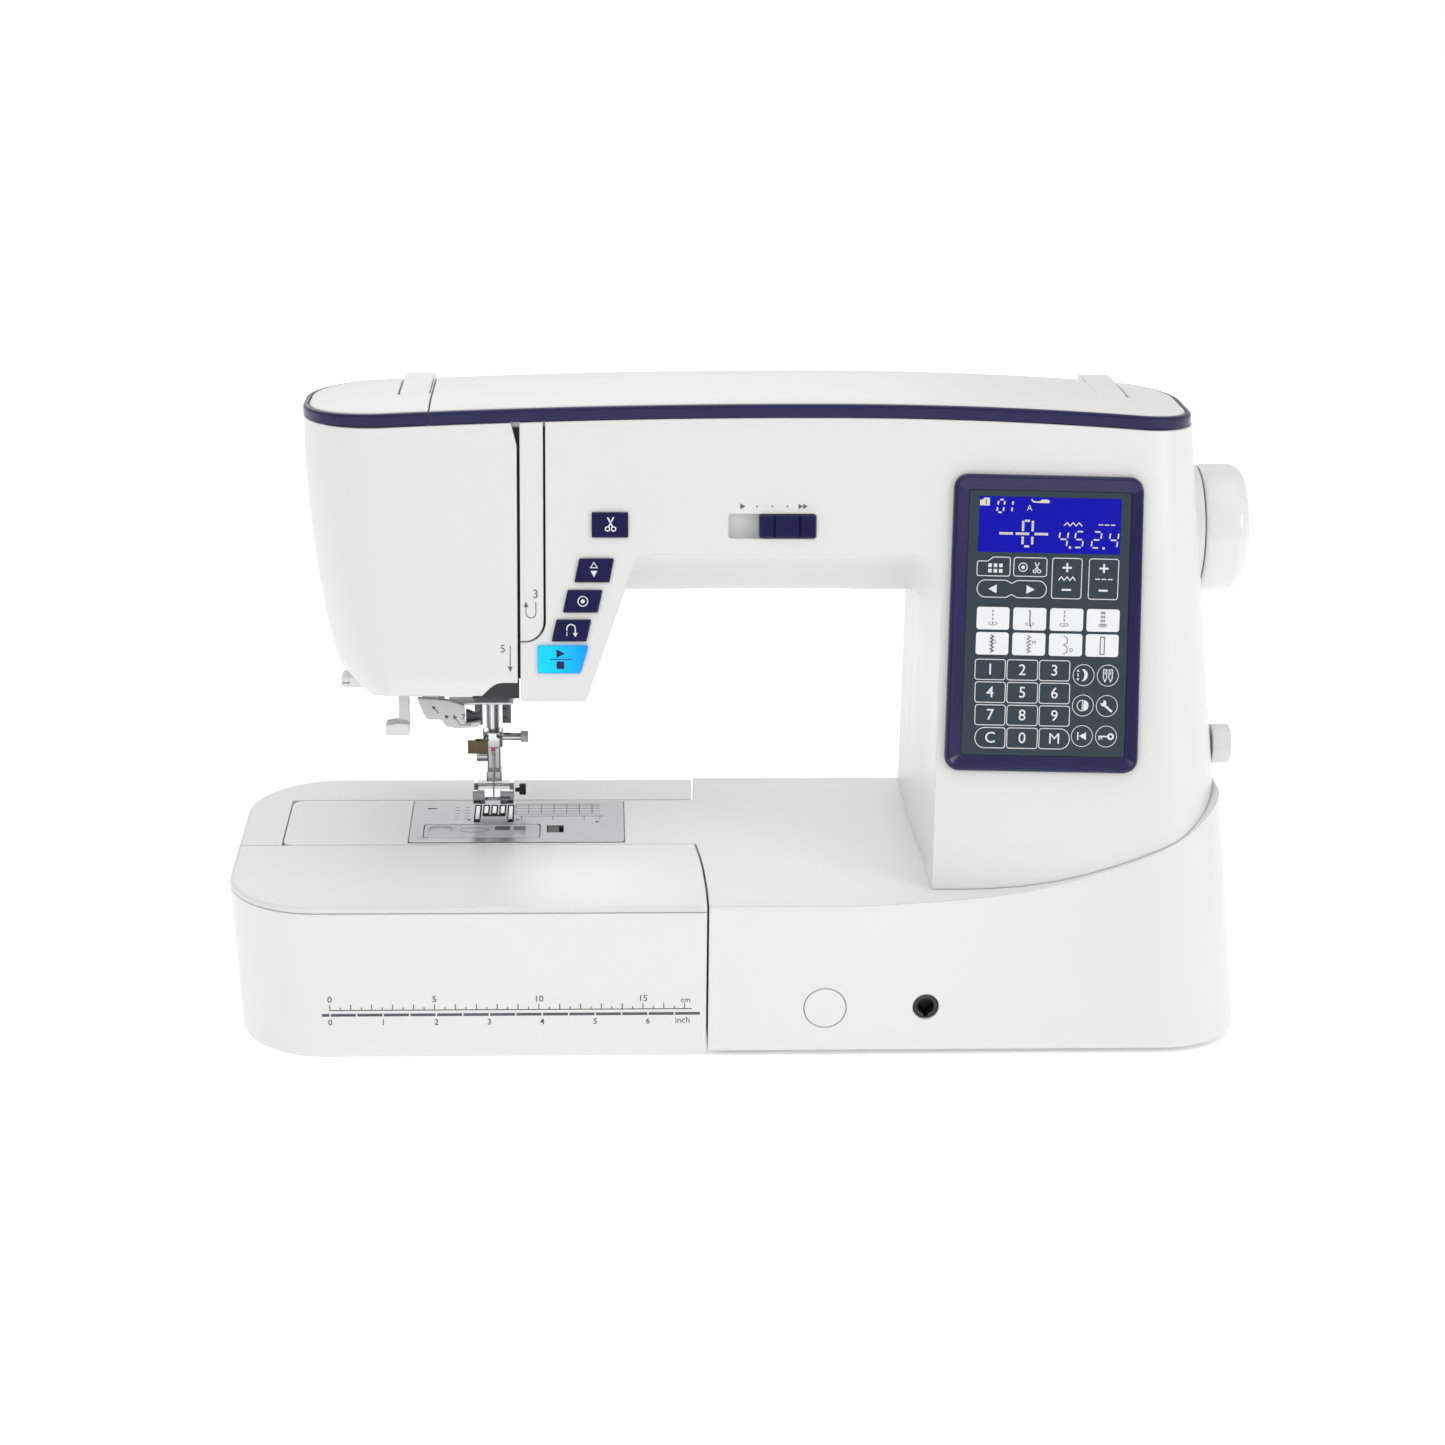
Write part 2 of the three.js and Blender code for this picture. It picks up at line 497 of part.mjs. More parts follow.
add("rotary_hook", turnedZ([[0, 38], [3, 38], [3, 50], [15.6, 50], [HOOK.r, 52], [HOOK.r, 68], [15.8, 68],
  [15.8, 53], [4, 52], [0, 52]], HOOK.x, HOOK.y), STEEL);
add("bobbin_holder", cut(
  turnedZ([[0, 53.6], [14.8, 53.6], [15.4, 55], [15.4, 69.4], [11.6, 69.4], [11.6, 56], [0, 56]], HOOK.x,
    HOOK.y),
  box(-3, 3, HOOK.y + 9, HOOK.y + 20, 62, 80),
), BLACK);
add("bobbin", turnedZ([[3, 56.8], [10.4, 56.8], [10.4, 58], [4.6, 58], [4.6, 67], [10.4, 67], [10.4, 68.2],
  [3, 68.2], [3, 56.8]], HOOK.x, HOOK.y), material(0xd7dbe0, 0.15));

// ---------------------------------------------------------------- frame, shafts, motor and belt
const bearing = { left: [40, 52], right: [296, 310] };
const lug = ([x0, x1]) => box(x0, x1, 106, 136, SHAFT.z - 13, SHAFT.z + 13);
add("main_frame", cut(
  join(
    box(114, 344, 62, 150, 10, 26),
    box(-92, 120, 90, 134, 22.5, 30),
    box(110, 130, 90, 134, 10, 30),
    box(238, 312, 133, 150, 20, 286),
    box(36, 312, 133, 150, 246, 286),
    cut(box(-58, 60, 141, 150, 178, 286), box(10, 61, 130, 160, 170, 246)),
    lug(bearing.left), lug(bearing.right),
    box(bearing.left[0], bearing.left[1], 120, 136, SHAFT.z, 260),
    box(bearing.right[0], bearing.right[1], 120, 136, SHAFT.z - 30, 260),
  ),
  rodX(SHAFT.r + 0.3, -40, 330, SHAFT.y, SHAFT.z),
  ...[258, 284, 310].map((x) => box(x - 8, x + 8, 130, 160, 60, 200)),
), CAST);
add("upper_shaft", join(
  rodX(SHAFT.r, 16, 368, SHAFT.y, SHAFT.z),
  rodX(13, 14, 24, SHAFT.y, SHAFT.z),
), STEEL);
const PULLEY = { x0: 316, x1: 326, r: 22 };
add("handwheel", turnedX([
  [SHAFT.r + 0.3, PULLEY.x0], [PULLEY.r + 1.6, PULLEY.x0], [PULLEY.r + 1.6, PULLEY.x0 + 1], [PULLEY.r,
    PULLEY.x0 + 1],
  [PULLEY.r, PULLEY.x1 - 1], [PULLEY.r + 1.6, PULLEY.x1 - 1], [PULLEY.r + 1.6, PULLEY.x1], [10.5,
    PULLEY.x1],
  [10.5, 350.6], [31.2, 350.6], [31.6, 351.6], [31.4, 366.4], [30.2, 369.8], [27.6, 372], [24, WHEEL_RIGHT],
  [0, WHEEL_RIGHT], [0, 369], [SHAFT.r + 0.3, 369], [SHAFT.r + 0.3, PULLEY.x0],
], SHAFT.y, SHAFT.z, 36), WHITE);
const MOTOR = { y: 92, z: 72, r: 24 };
add("motor", join(
  rodX(MOTOR.r, 248, 304, MOTOR.y, MOTOR.z), rodX(3, 304, 330, MOTOR.y, MOTOR.z, 16),
  box(252, 300, MOTOR.y - 20, MOTOR.y + 20, 26.4, 54),
), material(0x4a4d52, 0.5, 0.7));
add("motor_pulley", turnedX([[3.3, 315.5], [10, 315.5], [10, 316.5], [8, 316.5], [8, 325.5], [10, 325.5],
  [10, 326.5],
  [3.3, 326.5], [3.3, 315.5]], MOTOR.y, MOTOR.z, 20), BLACK);

// The belt is the outline round the two pulleys, with its own inside cut away.
const beltOutline = (extra) => {
  const big = { y: SHAFT.y, z: SHAFT.z, r: PULLEY.r + 0.3 + extra };
  const small = { y: MOTOR.y, z: MOTOR.z, r: 8.3 + extra };
  const away = Math.atan2(small.z - big.z, small.y - big.y);
  const open = Math.acos((big.r - small.r) / Math.hypot(small.z - big.z, small.y - big.y));
  const arc = ({ y, z, r }, from, to) =>
    Array.from({ length: 13 }, (_, i) => {
      const angle = from + ((to - from) * i) / 12;
      return new THREE.Vector2(y + r * Math.cos(angle), z + r * Math.sin(angle));
    });
  return [...arc(big, away + open, away + 2 * Math.PI - open), ...arc(small, away - open, away + open)];
};
add("drive_belt", cut(solid(alongX(beltOutline(1.2), 317.6, 324.4)),
  solid(alongX(beltOutline(0), 300, 340))), RUBBER);
add("lower_shaft", join(rodX(3.5, 24, 300, 125.5, 46, 16), rodX(6, 24, 34, 125.5, 46, 20)), STEEL);

// ---------------------------------------------------------------- needle bar, presser bar and foot
add("needle_bar_frame", cut(
  join(box(-9, 9, 127.8, 131.4, 186, 276), box(-9, 9, 110, 131.4, 186, 194),
    box(-9, 9, 110, 131.4, 262, 270)),
  rodZ(3.6, 170, 290, 0, NEEDLE_Y),
  rodZ(4.2, 170, 300, 0, 133.5, 16),
), CAST);
add("needle_bar", rodZ(3.3, 127.4, 284, 0, NEEDLE_Y), STEEL);
add("needle_clamp", cut(
  join(rodZ(5.2, 117.6, 127, 0, NEEDLE_Y, 20), rodX(2.2, 4, 13.4, NEEDLE_Y, 122, 16),
    rodX(3, 13, 18, NEEDLE_Y, 122, 16), box(-6.4, 5.6, 112.4, 116, 116.6, 118.6)),
  rodZ(1.3, 100, 125, 0, NEEDLE_Y, 12),
), STEEL);
add("needle", turnedZ([[0, 87.6], [0.15, 87.8], [0.42, 91], [0.42, 112], [1, 114.5], [1, 124.4],
  [0, 124.4]], 0,
  NEEDLE_Y, 12), STEEL);
const PRESSER_Y = 134.6;
const LIFTER = { y: 146, z: 192 };
add("presser_bar", join(rodZ(3, 112.6, 262, 0, PRESSER_Y, 18),
  box(-5, 5, PRESSER_Y - 2.5, PRESSER_Y + 4, 206, 214)), STEEL);
add("foot_holder", join(
  box(-4, 4, PRESSER_Y - 5, PRESSER_Y + 3.4, 101, 112.2),
  box(-3.4, 3.4, 125.2, PRESSER_Y + 3, 94.8, 104),
  rodX(3.4, -12.4, -4, PRESSER_Y - 1, 107, 16),
), STEEL);
const FOOT = { left: -10.2, right: 10.2, front: 116.5, back: 133, bottom: 86.8, pinZ: 93.4, pinY: 127 };
const toe = [[118.5, 86.8], [113, 88], [109.2, 91.6], [107.5, 95.6], [107.3, 97.4], [108.9, 97.4],
  [110.1, 93.4],
  [113.6, 90], [118.5, 88.7]].map(([y, z]) => new THREE.Vector2(y, z)).reverse();
add("presser_foot", cut(
  join(
    softBox(FOOT.left, FOOT.right, FOOT.front, FOOT.back, FOOT.bottom, FOOT.bottom + 1.9, 1.2),
    solid(alongX(toe, FOOT.left, -4.2)), solid(alongX(toe, 3.6, FOOT.right)),
    box(FOOT.left, -8, 121.6, 131.4, FOOT.bottom + 1, 96.4), box(8, FOOT.right, 121.6, 131.4,
      FOOT.bottom + 1, 96.4),
    rodX(0.9, FOOT.left, FOOT.right, FOOT.pinY, FOOT.pinZ, 10),
    rodX(1.3, FOOT.right - 1, 13, FOOT.pinY, FOOT.pinZ, 12), rodX(2.9, 12.8, 16.2, FOOT.pinY, FOOT.pinZ,
      16),
  ),
  softBox(-4.6, 4.6, 112, NEEDLE_Y + 2.4, 80, 91, 1.4),
), STEEL);
add("foot_lifter_lever", join(
  rodX(5, 14, 20, LIFTER.y, LIFTER.z, 20), box(14, 20, LIFTER.y, 178, LIFTER.z - 2.4, LIFTER.z + 2.4),
  box(11, 23, 169.5, 180.6, LIFTER.z - 3.2, LIFTER.z + 2.4),
), WHITE);
add("take_up_lever", join(rodX(4, 6, 12, 96, 262, 16), box(9, 11.6, 70, 98, 260, 264),
  box(9, 11.6, 70, 74, 256, 268)), STEEL);
add("needle_threader", join(
  box(-46.8, -38.6, 74, 79, 146, 196), box(-51, -38.6, 70, 80, 139.6, 146),
  box(-40, -24, 79, 104, 172, 178), box(-36.6, -25, 98, 104, 140.4, 178), box(-27, -15, 98, 104, 134.4,
    150),
), WHITE);
add("thread_cutter", join(softBox(-74.4, -60, 76, 88, 158.6, 164.6, 1),
  softBox(-74.4, -70.8, 76, 88, 159, 170.2, 1.4)), WHITE);

// ---------------------------------------------------------------- controls, display and lamp
Object.entries(BUTTONS).forEach(([name, corners]) =>
  add(name, onFace(onSlope(corners, 1.3), -5, 1), name.startsWith("start") ? material(0x28b4f0,
    0.3) : NAVY));
add("speed_slider", join(
  onFace(rectangle(SLIDER.right - SLIDER.knob, upFace(SLIDER.low) + 0.5, SLIDER.right - 0.5,
    upFace(SLIDER.high) - 0.5, 1),
    -3, 1.6),
  onFace(rectangle(SLIDER.right - SLIDER.knob + 3, upFace(SLIDER.low) - 3, SLIDER.right - 3,
    upFace(SLIDER.high) + 3),
    -5.6, -3.4),
  onFace(rectangle(SLIDER.right - 18, upFace(248), SLIDER.right - 8, upFace(254)), -4, 0),
), NAVY);
add("control_bezel", cut(
  join(onFace(panelPoints(0, 7), 0.3, 3.4), onFace(panelPoints(5.4, 4), -2.5, 1)),
  onFace(panelPoints(PANEL.border, 2), -10, 10),
), NAVY);
add("keypad_panel", onFace(panelPoints(PANEL.border + 0.4, 2), -1.6, 0.8), material(0x35414c, 0.35));
add("display_board", join(
  onFace(panelPoints(12, 0), -8, -5.6),
  onFace(rectangle(PANEL.x - 32, upFace(238), PANEL.x + 32, upFace(262)), -6, -2),
), material(0x20603c, 0.6));
add("lamp_lens", join(
  softBox(96.4, 178.6, 106.4, 121.6, 201, 204.9, 4.6), softBox(93, 182, 105.4, 123.6, 207.7, 210, 5),
  softBox(97.4, 177.6, 107.4, 120.6, 204.5, 208.5, 4.4),
), material(0xf4f7fa, 0.1));
add("feed_balance_dial",
  turnedX([[0, 345], [3.2, 345], [3.2, DIAL.left], [DIAL.r, DIAL.left], [DIAL.r, DIAL.right - 0.8],
  [DIAL.r - 0.8, DIAL.right], [0, DIAL.right]], DIAL.y, DIAL.z, 28), WHITE);
add("power_switch", join(
  box(356, 364.4, SWITCH.y - 7, SWITCH.y + 7, SWITCH.z - 9.4, SWITCH.z + 9.4),
), BLACK);
add("power_inlet", cut(
  box(352, 364, SWITCH.y - 45.5, SWITCH.y - 20.5, SWITCH.z - 8.5, SWITCH.z + 8.5),
  box(354, 370, SWITCH.y - 43, SWITCH.y - 23, SWITCH.z - 6, SWITCH.z + 6),
), BLACK);

// Under the lid: the spool pin lies along the arm and the bobbin winder stands beside it.
add("spool_pin", join(rodX(2.4, 57, 130, 96, 284, 14), turnedX([[0, 56], [12, 56], [12, 59], [0, 59]], 96,
  284, 20),
  box(128, 134, 90, 102, 270, 290)), WHITE);
add("bobbin_winder", turnedZ([[0, 262], [9, 262], [9, 268], [2.9, 268], [2.9, 289], [0, 289]], 262, 104,
  20), STEEL);

parts.position.set(-(TABLE_LEFT + WHEEL_RIGHT) / 2, -HANDLE_BACK / 2, 0);
const machine = new THREE.Group();
machine.add(parts);

export default machine;
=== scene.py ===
import math

import bmesh
import bpy
from mathutils import Matrix, Vector


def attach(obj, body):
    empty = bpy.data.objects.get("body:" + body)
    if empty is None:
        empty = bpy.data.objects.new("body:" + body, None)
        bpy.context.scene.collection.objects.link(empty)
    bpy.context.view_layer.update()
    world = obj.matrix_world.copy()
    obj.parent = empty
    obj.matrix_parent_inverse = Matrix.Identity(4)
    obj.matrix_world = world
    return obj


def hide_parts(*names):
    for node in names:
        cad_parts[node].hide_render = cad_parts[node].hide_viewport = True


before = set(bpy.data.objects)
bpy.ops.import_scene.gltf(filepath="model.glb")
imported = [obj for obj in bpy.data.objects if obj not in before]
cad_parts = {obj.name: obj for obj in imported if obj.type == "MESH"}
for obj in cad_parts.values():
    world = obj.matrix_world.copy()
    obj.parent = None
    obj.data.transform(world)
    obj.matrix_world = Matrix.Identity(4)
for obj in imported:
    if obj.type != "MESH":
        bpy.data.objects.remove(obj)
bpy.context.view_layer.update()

# The looks of a computerised sewing machine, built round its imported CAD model.
# Shapes are in millimetres in the machine's own frame: X to the right of the needle, Y back from the front
# of the base, Z up from the surface it stands on. `piece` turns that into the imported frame, in metres.
scene = bpy.context.scene
ORIGIN = Vector((123.4, 89.0, 0.0))

# ---- sizes of the real machine, in mm
BED_TOP = 79.0
BED_DEPTH = 174.0
BED_GAP = 3.0
TABLE_LEFT, TABLE_RIGHT = -126.0, 104.0
ARM_LEFT, ARM_FRONT, ARM_BACK, ARM_BOTTOM = -104.0, 80.8, 142.2, 18.0
HEAD_LEFT, TOP_RIGHT, TOP_Z = -88.7, 340.0, 300.0
HEAD_BOTTOM = 165.0
COLUMN_LEFT, ARM_UNDERSIDE = 212.0, 204.5
FACE_FOOT, LEAN = 20.0, 0.22
BACK_TOP, BACK_LEAN = 160.0, 0.0633
FLARE = 0.0945
WALL, GAP = 2.8, 0.18
TRIM = 7.0
CAP_SEAM = -26.5
SPLIT_Y = 124.0
NEEDLE_Y = 119.5
SHAFT_AT = (118, 233)
STEEP = math.hypot(1.0, LEAN)


def front_y(z):
    return FACE_FOOT + (z - BED_TOP) * LEAN


def back_y(z):
    return BACK_TOP + (TOP_Z - z) * BACK_LEAN


def right_x(z):
    return TOP_RIGHT + (TOP_Z - z) * FLARE


def up_face(z):
    return (z - BED_TOP) * STEEP


def interpolate(table, at):
    """The value at `at`, straight between (position, value) pairs in rising order."""
    if at <= table[0][0]:
        return table[0][1]
    for (a, va), (b, vb) in zip(table, table[1:]):
        if at <= b:
            t = (at - a) / (b - a)
            return va + (vb - va) * t
    return table[-1][1]


def smooth(t):
    t = min(max(t, 0.0), 1.0)
    return t * t * (3 - 2 * t)


# ---- mesh helpers
def make(name, verts, faces):
    mesh = bpy.data.meshes.new(name)
    mesh.from_pydata([tuple(v) for v in verts], [], faces)
    bm = bmesh.new()
    bm.from_mesh(mesh)
    bmesh.ops.remove_doubles(bm, verts=bm.verts, dist=1e-4)
    bmesh.ops.recalc_face_normals(bm, faces=bm.faces)
    bm.to_mesh(mesh)
    bm.free()
    obj = bpy.data.objects.new(name, mesh)
    scene.collection.objects.link(obj)
    return obj


def loft(name, rings, strip=False, closed=False):
    """A solid through rings with the same number of points. `strip` caps the ends with cross strips."""
    n = len(rings[0])
    verts = [p for ring in rings for p in ring]
    faces = []
    pairs = len(rings) if closed else len(rings) - 1
    for r in range(pairs):
        a, b = r * n, ((r + 1) % len(rings)) * n
        faces += [(a + i, a + (i + 1) % n, b + (i + 1) % n, b + i) for i in range(n)]
    if not closed:
        for base in (0, (len(rings) - 1) * n):
            if strip:
                faces += [(base + i, base + i + 1, base + n - 2 - i, base + n - 1 - i) for i in range(n // 2 - 1)]
            else:
                faces.append(tuple(range(base, base + n)))
    return make(name, verts, faces)


def rounded(corners, segments=12):
    """Points round a polygon whose corners are (x, y, radius)."""
    points = []
    count = len(corners)
    for i, corner in enumerate(corners):
        here = Vector(corner[:2])
        radius = corner[2] if len(corner) > 2 else 0
        if not radius:
            points.append(here)
            continue
        before = (Vector(corners[i - 1][:2]) - here).normalized()
        after = (Vector(corners[(i + 1) % count][:2]) - here).normalized()
        half = before.angle(after) / 2
        centre = here + (before + after).normalized() * (radius / math.sin(half))
        start = here + before * (radius / math.tan(half)) - centre
        turn = -1 if before.x * after.y - before.y * after.x > 0 else 1
        sweep = turn * (math.pi - 2 * half)
        points += [centre + Matrix.Rotation(sweep * s / segments, 2) @ start for s in range(segments + 1)]
    return points


def rectangle(x0, y0, x1, y1, r=0.0, segments=8):
    return rounded([(x0, y0, r), (x1, y0, r), (x1, y1, r), (x0, y1, r)], segments)


def along(axis, points, a, b, levels=(0.0, 1.0)):
    """A prism: points are XY for axis z, XZ for y, YZ for x."""
    put = {
        "z": lambda p, t: (p[0], p[1], t),
        "y": lambda p, t: (p[0], t, p[1]),
        "x": lambda p, t: (t, p[0], p[1]),
    }[axis]
    return loft("prism", [[put(p, a + (b - a) * t) for p in points] for t in levels])


def box(x0, x1, y0, y1, z0, z1):
    return along("z", rectangle(x0, y0, x1, y1), z0, z1)


def soft_box(x0, x1, y0, y1, z0, z1, r, edge=0.6):
    """A plate with rounded corners and softened top and bottom edges."""
    steps = [(0.0, edge), (edge * 0.3, edge * 0.3), (edge, 0.0)]
    levels = [(z0 + h, inset) for h, inset in steps] + [(z1 - h, inset) for h, inset in reversed(steps)]
    return loft("plate", [[(*p, z) for p in rectangle(x0 + i, y0 + i, x1 - i, y1 - i, max(r - i, 0.05))]
        for z, i in levels])


def turned(axis, profile, centre, segments=64):
    """A lathe: profile is (radius, height along the axis) pairs that start and end on the axis."""
    rings = []
    for r, h in profile:
        r = max(r, 1e-3)
        ring = []
        for s in range(segments):
            a = 2 * math.pi * s / segments
            u, v = r * math.cos(a), r * math.sin(a)
            ring.append({"z": (centre[0] + u, centre[1] + v, h),
                "x": (h, centre[0] + u, centre[1] + v),
                "y": (centre[0] + u, h, centre[1] + v)}[axis])
        rings.append(ring)
    return loft("turned", rings)


def rod(axis, r, a, b, centre, segments=32, edge=0.0):
    if not edge:
        return turned(axis, [(r, a), (r, b)], centre, segments)
    return turned(axis, [(r - edge, a), (r - edge * 0.3, a + edge * 0.3), (r, a + edge),
        (r, b - edge), (r - edge * 0.3, b - edge * 0.3), (r - edge, b)], centre, segments)


def combine(operation, base, others, solver="MANIFOLD"):
    for other in others:
        step = base.modifiers.new("step", "BOOLEAN")
        step.operation = operation
        step.object = other
        step.solver = solver
    depsgraph = bpy.context.evaluated_depsgraph_get()
    mesh = bpy.data.meshes.new_from_object(base.evaluated_get(depsgraph))
    base.modifiers.clear()
    base.data = mesh
    for other in others:
        bpy.data.objects.remove(other)
    return base


def cut(base, *others):
    return combine("DIFFERENCE", base, others)


def join(base, *others):
    return combine("UNION", base, others)


def overlap(base, *others):
    return combine("INTERSECT", base, others)


def copy(obj):
    twin = obj.copy()
    twin.data = obj.data.copy()
    scene.collection.objects.link(twin)
    return twin


def gather(objects):
    """Several separate solids as one mesh."""
    bm = bmesh.new()
    for obj in objects:
        bm.from_mesh(obj.data)
        bpy.data.objects.remove(obj)
    mesh = bpy.data.meshes.new("gathered")
    bm.to_mesh(mesh)
    bm.free()
    obj = bpy.data.objects.new("gathered", mesh)
    scene.collection.objects.link(obj)
    return obj


def piece(name, obj, material, body, replaces=(), sharp=32, bevel=0.0):
    """Hands a finished solid over to the frame: metres, shading, material, body, and hides the CAD parts it replaces.
    """
    obj.name = name
    obj.data.name = name
    obj.data.transform(Matrix.Scale(0.001, 4) @ Matrix.Translation(-ORIGIN))
    obj.data.materials.clear()
    obj.data.materials.append(material)
    obj.data.shade_smooth()
    obj.data.set_sharp_from_angle(angle=math.radians(sharp))
    if bevel:
        edge = obj.modifiers.new("edge", "BEVEL")
        edge.width = bevel * 0.001
        edge.segments = 2
        edge.limit_method = "ANGLE"
        edge.angle_limit = math.radians(35)
        edge.harden_normals = False
    weighted = obj.modifiers.new("weighted", "WEIGHTED_NORMAL")
    weighted.keep_sharp = True
    weighted.weight = 60
    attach(obj, body)
    if replaces:
        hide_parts(*replaces)
    return obj


# ---- materials
def faded(nodes, links, where, base, fade, glow_socket):
    """Runs the colour to a second one along X, from fade[1] to fade[2] in metres; the glow follows it."""
    split = nodes.new("ShaderNodeSeparateXYZ")
    links.new(where.outputs["Object"], split.inputs[0])
    share = nodes.new("ShaderNodeMapRange")
    share.inputs["From Min"].default_value = fade[1]
    share.inputs["From Max"].default_value = fade[2]
    links.new(split.outputs["X"], share.inputs["Value"])
    blend = nodes.new("ShaderNodeMix")
    blend.data_type = "RGBA"
    links.new(share.outputs["Result"], blend.inputs["Factor"])
    links.new(base, blend.inputs["A"])
    blend.inputs["B"].default_value = (*fade[0], 1)
    links.new(blend.outputs["Result"], glow_socket)
    return blend.outputs["Result"]


def banded(nodes, links, where, base, reflection_bands):
    """Painted reflection: darkens the colour of faces by the way they point across, standing in for the dark and
    bright parts of the studio that polished metal reflects.
    """
    split = nodes.new("ShaderNodeSeparateXYZ")
    links.new(where.outputs["Normal"], split.inputs[0])
    across = nodes.new("ShaderNodeMapRange")
    across.inputs["From Min"].default_value = -1.0
    links.new(split.outputs["X"], across.inputs["Value"])
    ramp = nodes.new("ShaderNodeValToRGB")
    ramp.color_ramp.elements[0].position, ramp.color_ramp.elements[1].position = reflection_bands[0][0], reflection_bands[-1][0]
    for at, _ in reflection_bands[1:-1]:
        ramp.color_ramp.elements.new(at)
    for element, (_, level) in zip(ramp.color_ramp.elements, reflection_bands):
        element.color = (level, level, level, 1)
    links.new(across.outputs["Result"], ramp.inputs[0])
    blend = nodes.new("ShaderNodeMix")
    blend.data_type = "RGBA"
    blend.blend_type = "MULTIPLY"
    blend.inputs["Factor"].default_value = 1.0
    links.new(base, blend.inputs["A"])
    links.new(ramp.outputs["Color"], blend.inputs["B"])
    return blend.outputs["Result"]


def material(name, color, roughness, metallic=0.0, grain=0.0, grain_scale=900.0, mottle=0.02, edge=0.0006,
    glow=None, glow_strength=0.0, alpha=1.0, specular=0.5, brushed=None, rough_vary=0.06,
    fade=None, reflection_bands=None):
    """Principled material with object-space mottling, a fine grain and softened edges."""
    mat = bpy.data.materials.new(name)
    mat.use_nodes = True
    nodes, links = mat.node_tree.nodes, mat.node_tree.links
    nodes.clear()
    out = nodes.new("ShaderNodeOutputMaterial")
    shader = nodes.new("ShaderNodeBsdfPrincipled")
    links.new(shader.outputs[0], out.inputs[0])
    shader.inputs["Metallic"].default_value = metallic
    shader.inputs["Alpha"].default_value = alpha
    shader.inputs["Specular IOR Level"].default_value = specular
    where = nodes.new("ShaderNodeTexCoord")
    stretch = nodes.new("ShaderNodeMapping")
    links.new(where.outputs["Object"], stretch.inputs["Vector"])
    if brushed:
        stretch.inputs["Scale"].default_value = brushed
    cloud = nodes.new("ShaderNodeTexNoise")
    cloud.inputs["Scale"].default_value = 14.0
    cloud.inputs["Detail"].default_value = 3.0
    links.new(where.outputs["Object"], cloud.inputs["Vector"])
    tint = nodes.new("ShaderNodeMix")
    tint.data_type = "RGBA"
    tint.inputs["A"].default_value = (*[c * (1 - mottle) for c in color], 1)
    tint.inputs["B"].default_value = (*[min(c * (1 + mottle), 1) for c in color], 1)
    links.new(cloud.outputs["Fac"], tint.inputs["Factor"])
    base = tint.outputs["Result"]
    if fade:
        base = faded(nodes, links, where, base, fade, shader.inputs["Emission Color"])
    if reflection_bands:
        base = banded(nodes, links, where, base, reflection_bands)
    links.new(base, shader.inputs["Base Color"])
    fine = nodes.new("ShaderNodeTexNoise")
    fine.inputs["Scale"].default_value = grain_scale
    fine.inputs["Detail"].default_value = 2.0
    links.new(stretch.outputs["Vector"], fine.inputs["Vector"])
    gloss = nodes.new("ShaderNodeMapRange")
    gloss.inputs["To Min"].default_value = roughness - rough_vary * roughness
    gloss.inputs["To Max"].default_value = roughness + rough_vary * roughness
    links.new(fine.outputs["Fac"], gloss.inputs["Value"])
    links.new(gloss.outputs["Result"], shader.inputs["Roughness"])
    normal = None
    if edge:
        normal = nodes.new("ShaderNodeBevel")
        normal.samples = 4
        normal.inputs["Radius"].default_value = edge
    if grain:
        bump = nodes.new("ShaderNodeBump")
        bump.inputs["Strength"].default_value = grain
        bump.inputs["Distance"].default_value = 0.0002
        links.new(fine.outputs["Fac"], bump.inputs["Height"])
        if normal:
            links.new(normal.outputs[0], bump.inputs["Normal"])
        normal = bump
    if normal:
        links.new(normal.outputs[0], shader.inputs["Normal"])
    if glow:
        shader.inputs["Emission Color"].default_value = (*glow, 1)
        shader.inputs["Emission Strength"].default_value = glow_strength
    return mat


# Painted reflection: darkening levels across the polished steel's faces, standing in for the studio it reflects.
PAINTED_REFLECTION_BANDS = [(0.0, 0.75), (0.10, 0.22), (0.27, 0.16), (0.37, 0.85), (0.50, 1.0), (0.60, 0.62), (0.70, 0.14),
    (0.88, 0.20), (1.0, 0.8)]
WHITE = material("moulded_white", (0.80, 0.80, 0.775), 0.36, grain=0.05, mottle=0.012, edge=0.0010)
NAVY = material("gloss_navy", (0.013, 0.012, 0.070), 0.24, grain=0.02, mottle=0.05, specular=0.28, edge=0.0006)
BEZEL = material("satin_navy", (0.017, 0.016, 0.078), 0.2, grain=0.03, mottle=0.05, specular=0.38, edge=0.0008)
FILM = material("key_film", (0.028, 0.046, 0.062), 0.34, grain=0.06, mottle=0.05, edge=0.0002)
BLACK = material("black_plastic", (0.02, 0.02, 0.022), 0.42, grain=0.1, mottle=0.1)
# Painted shade: a near-black for the dark inside of cavities.
CAVITY_SHADE = material("painted_cavity_shade", (0.012, 0.012, 0.013), 0.7, grain=0.1, mottle=0.2)
RUBBER = material("rubber", (0.025, 0.025, 0.026), 0.75, grain=0.3, grain_scale=500, mottle=0.2)
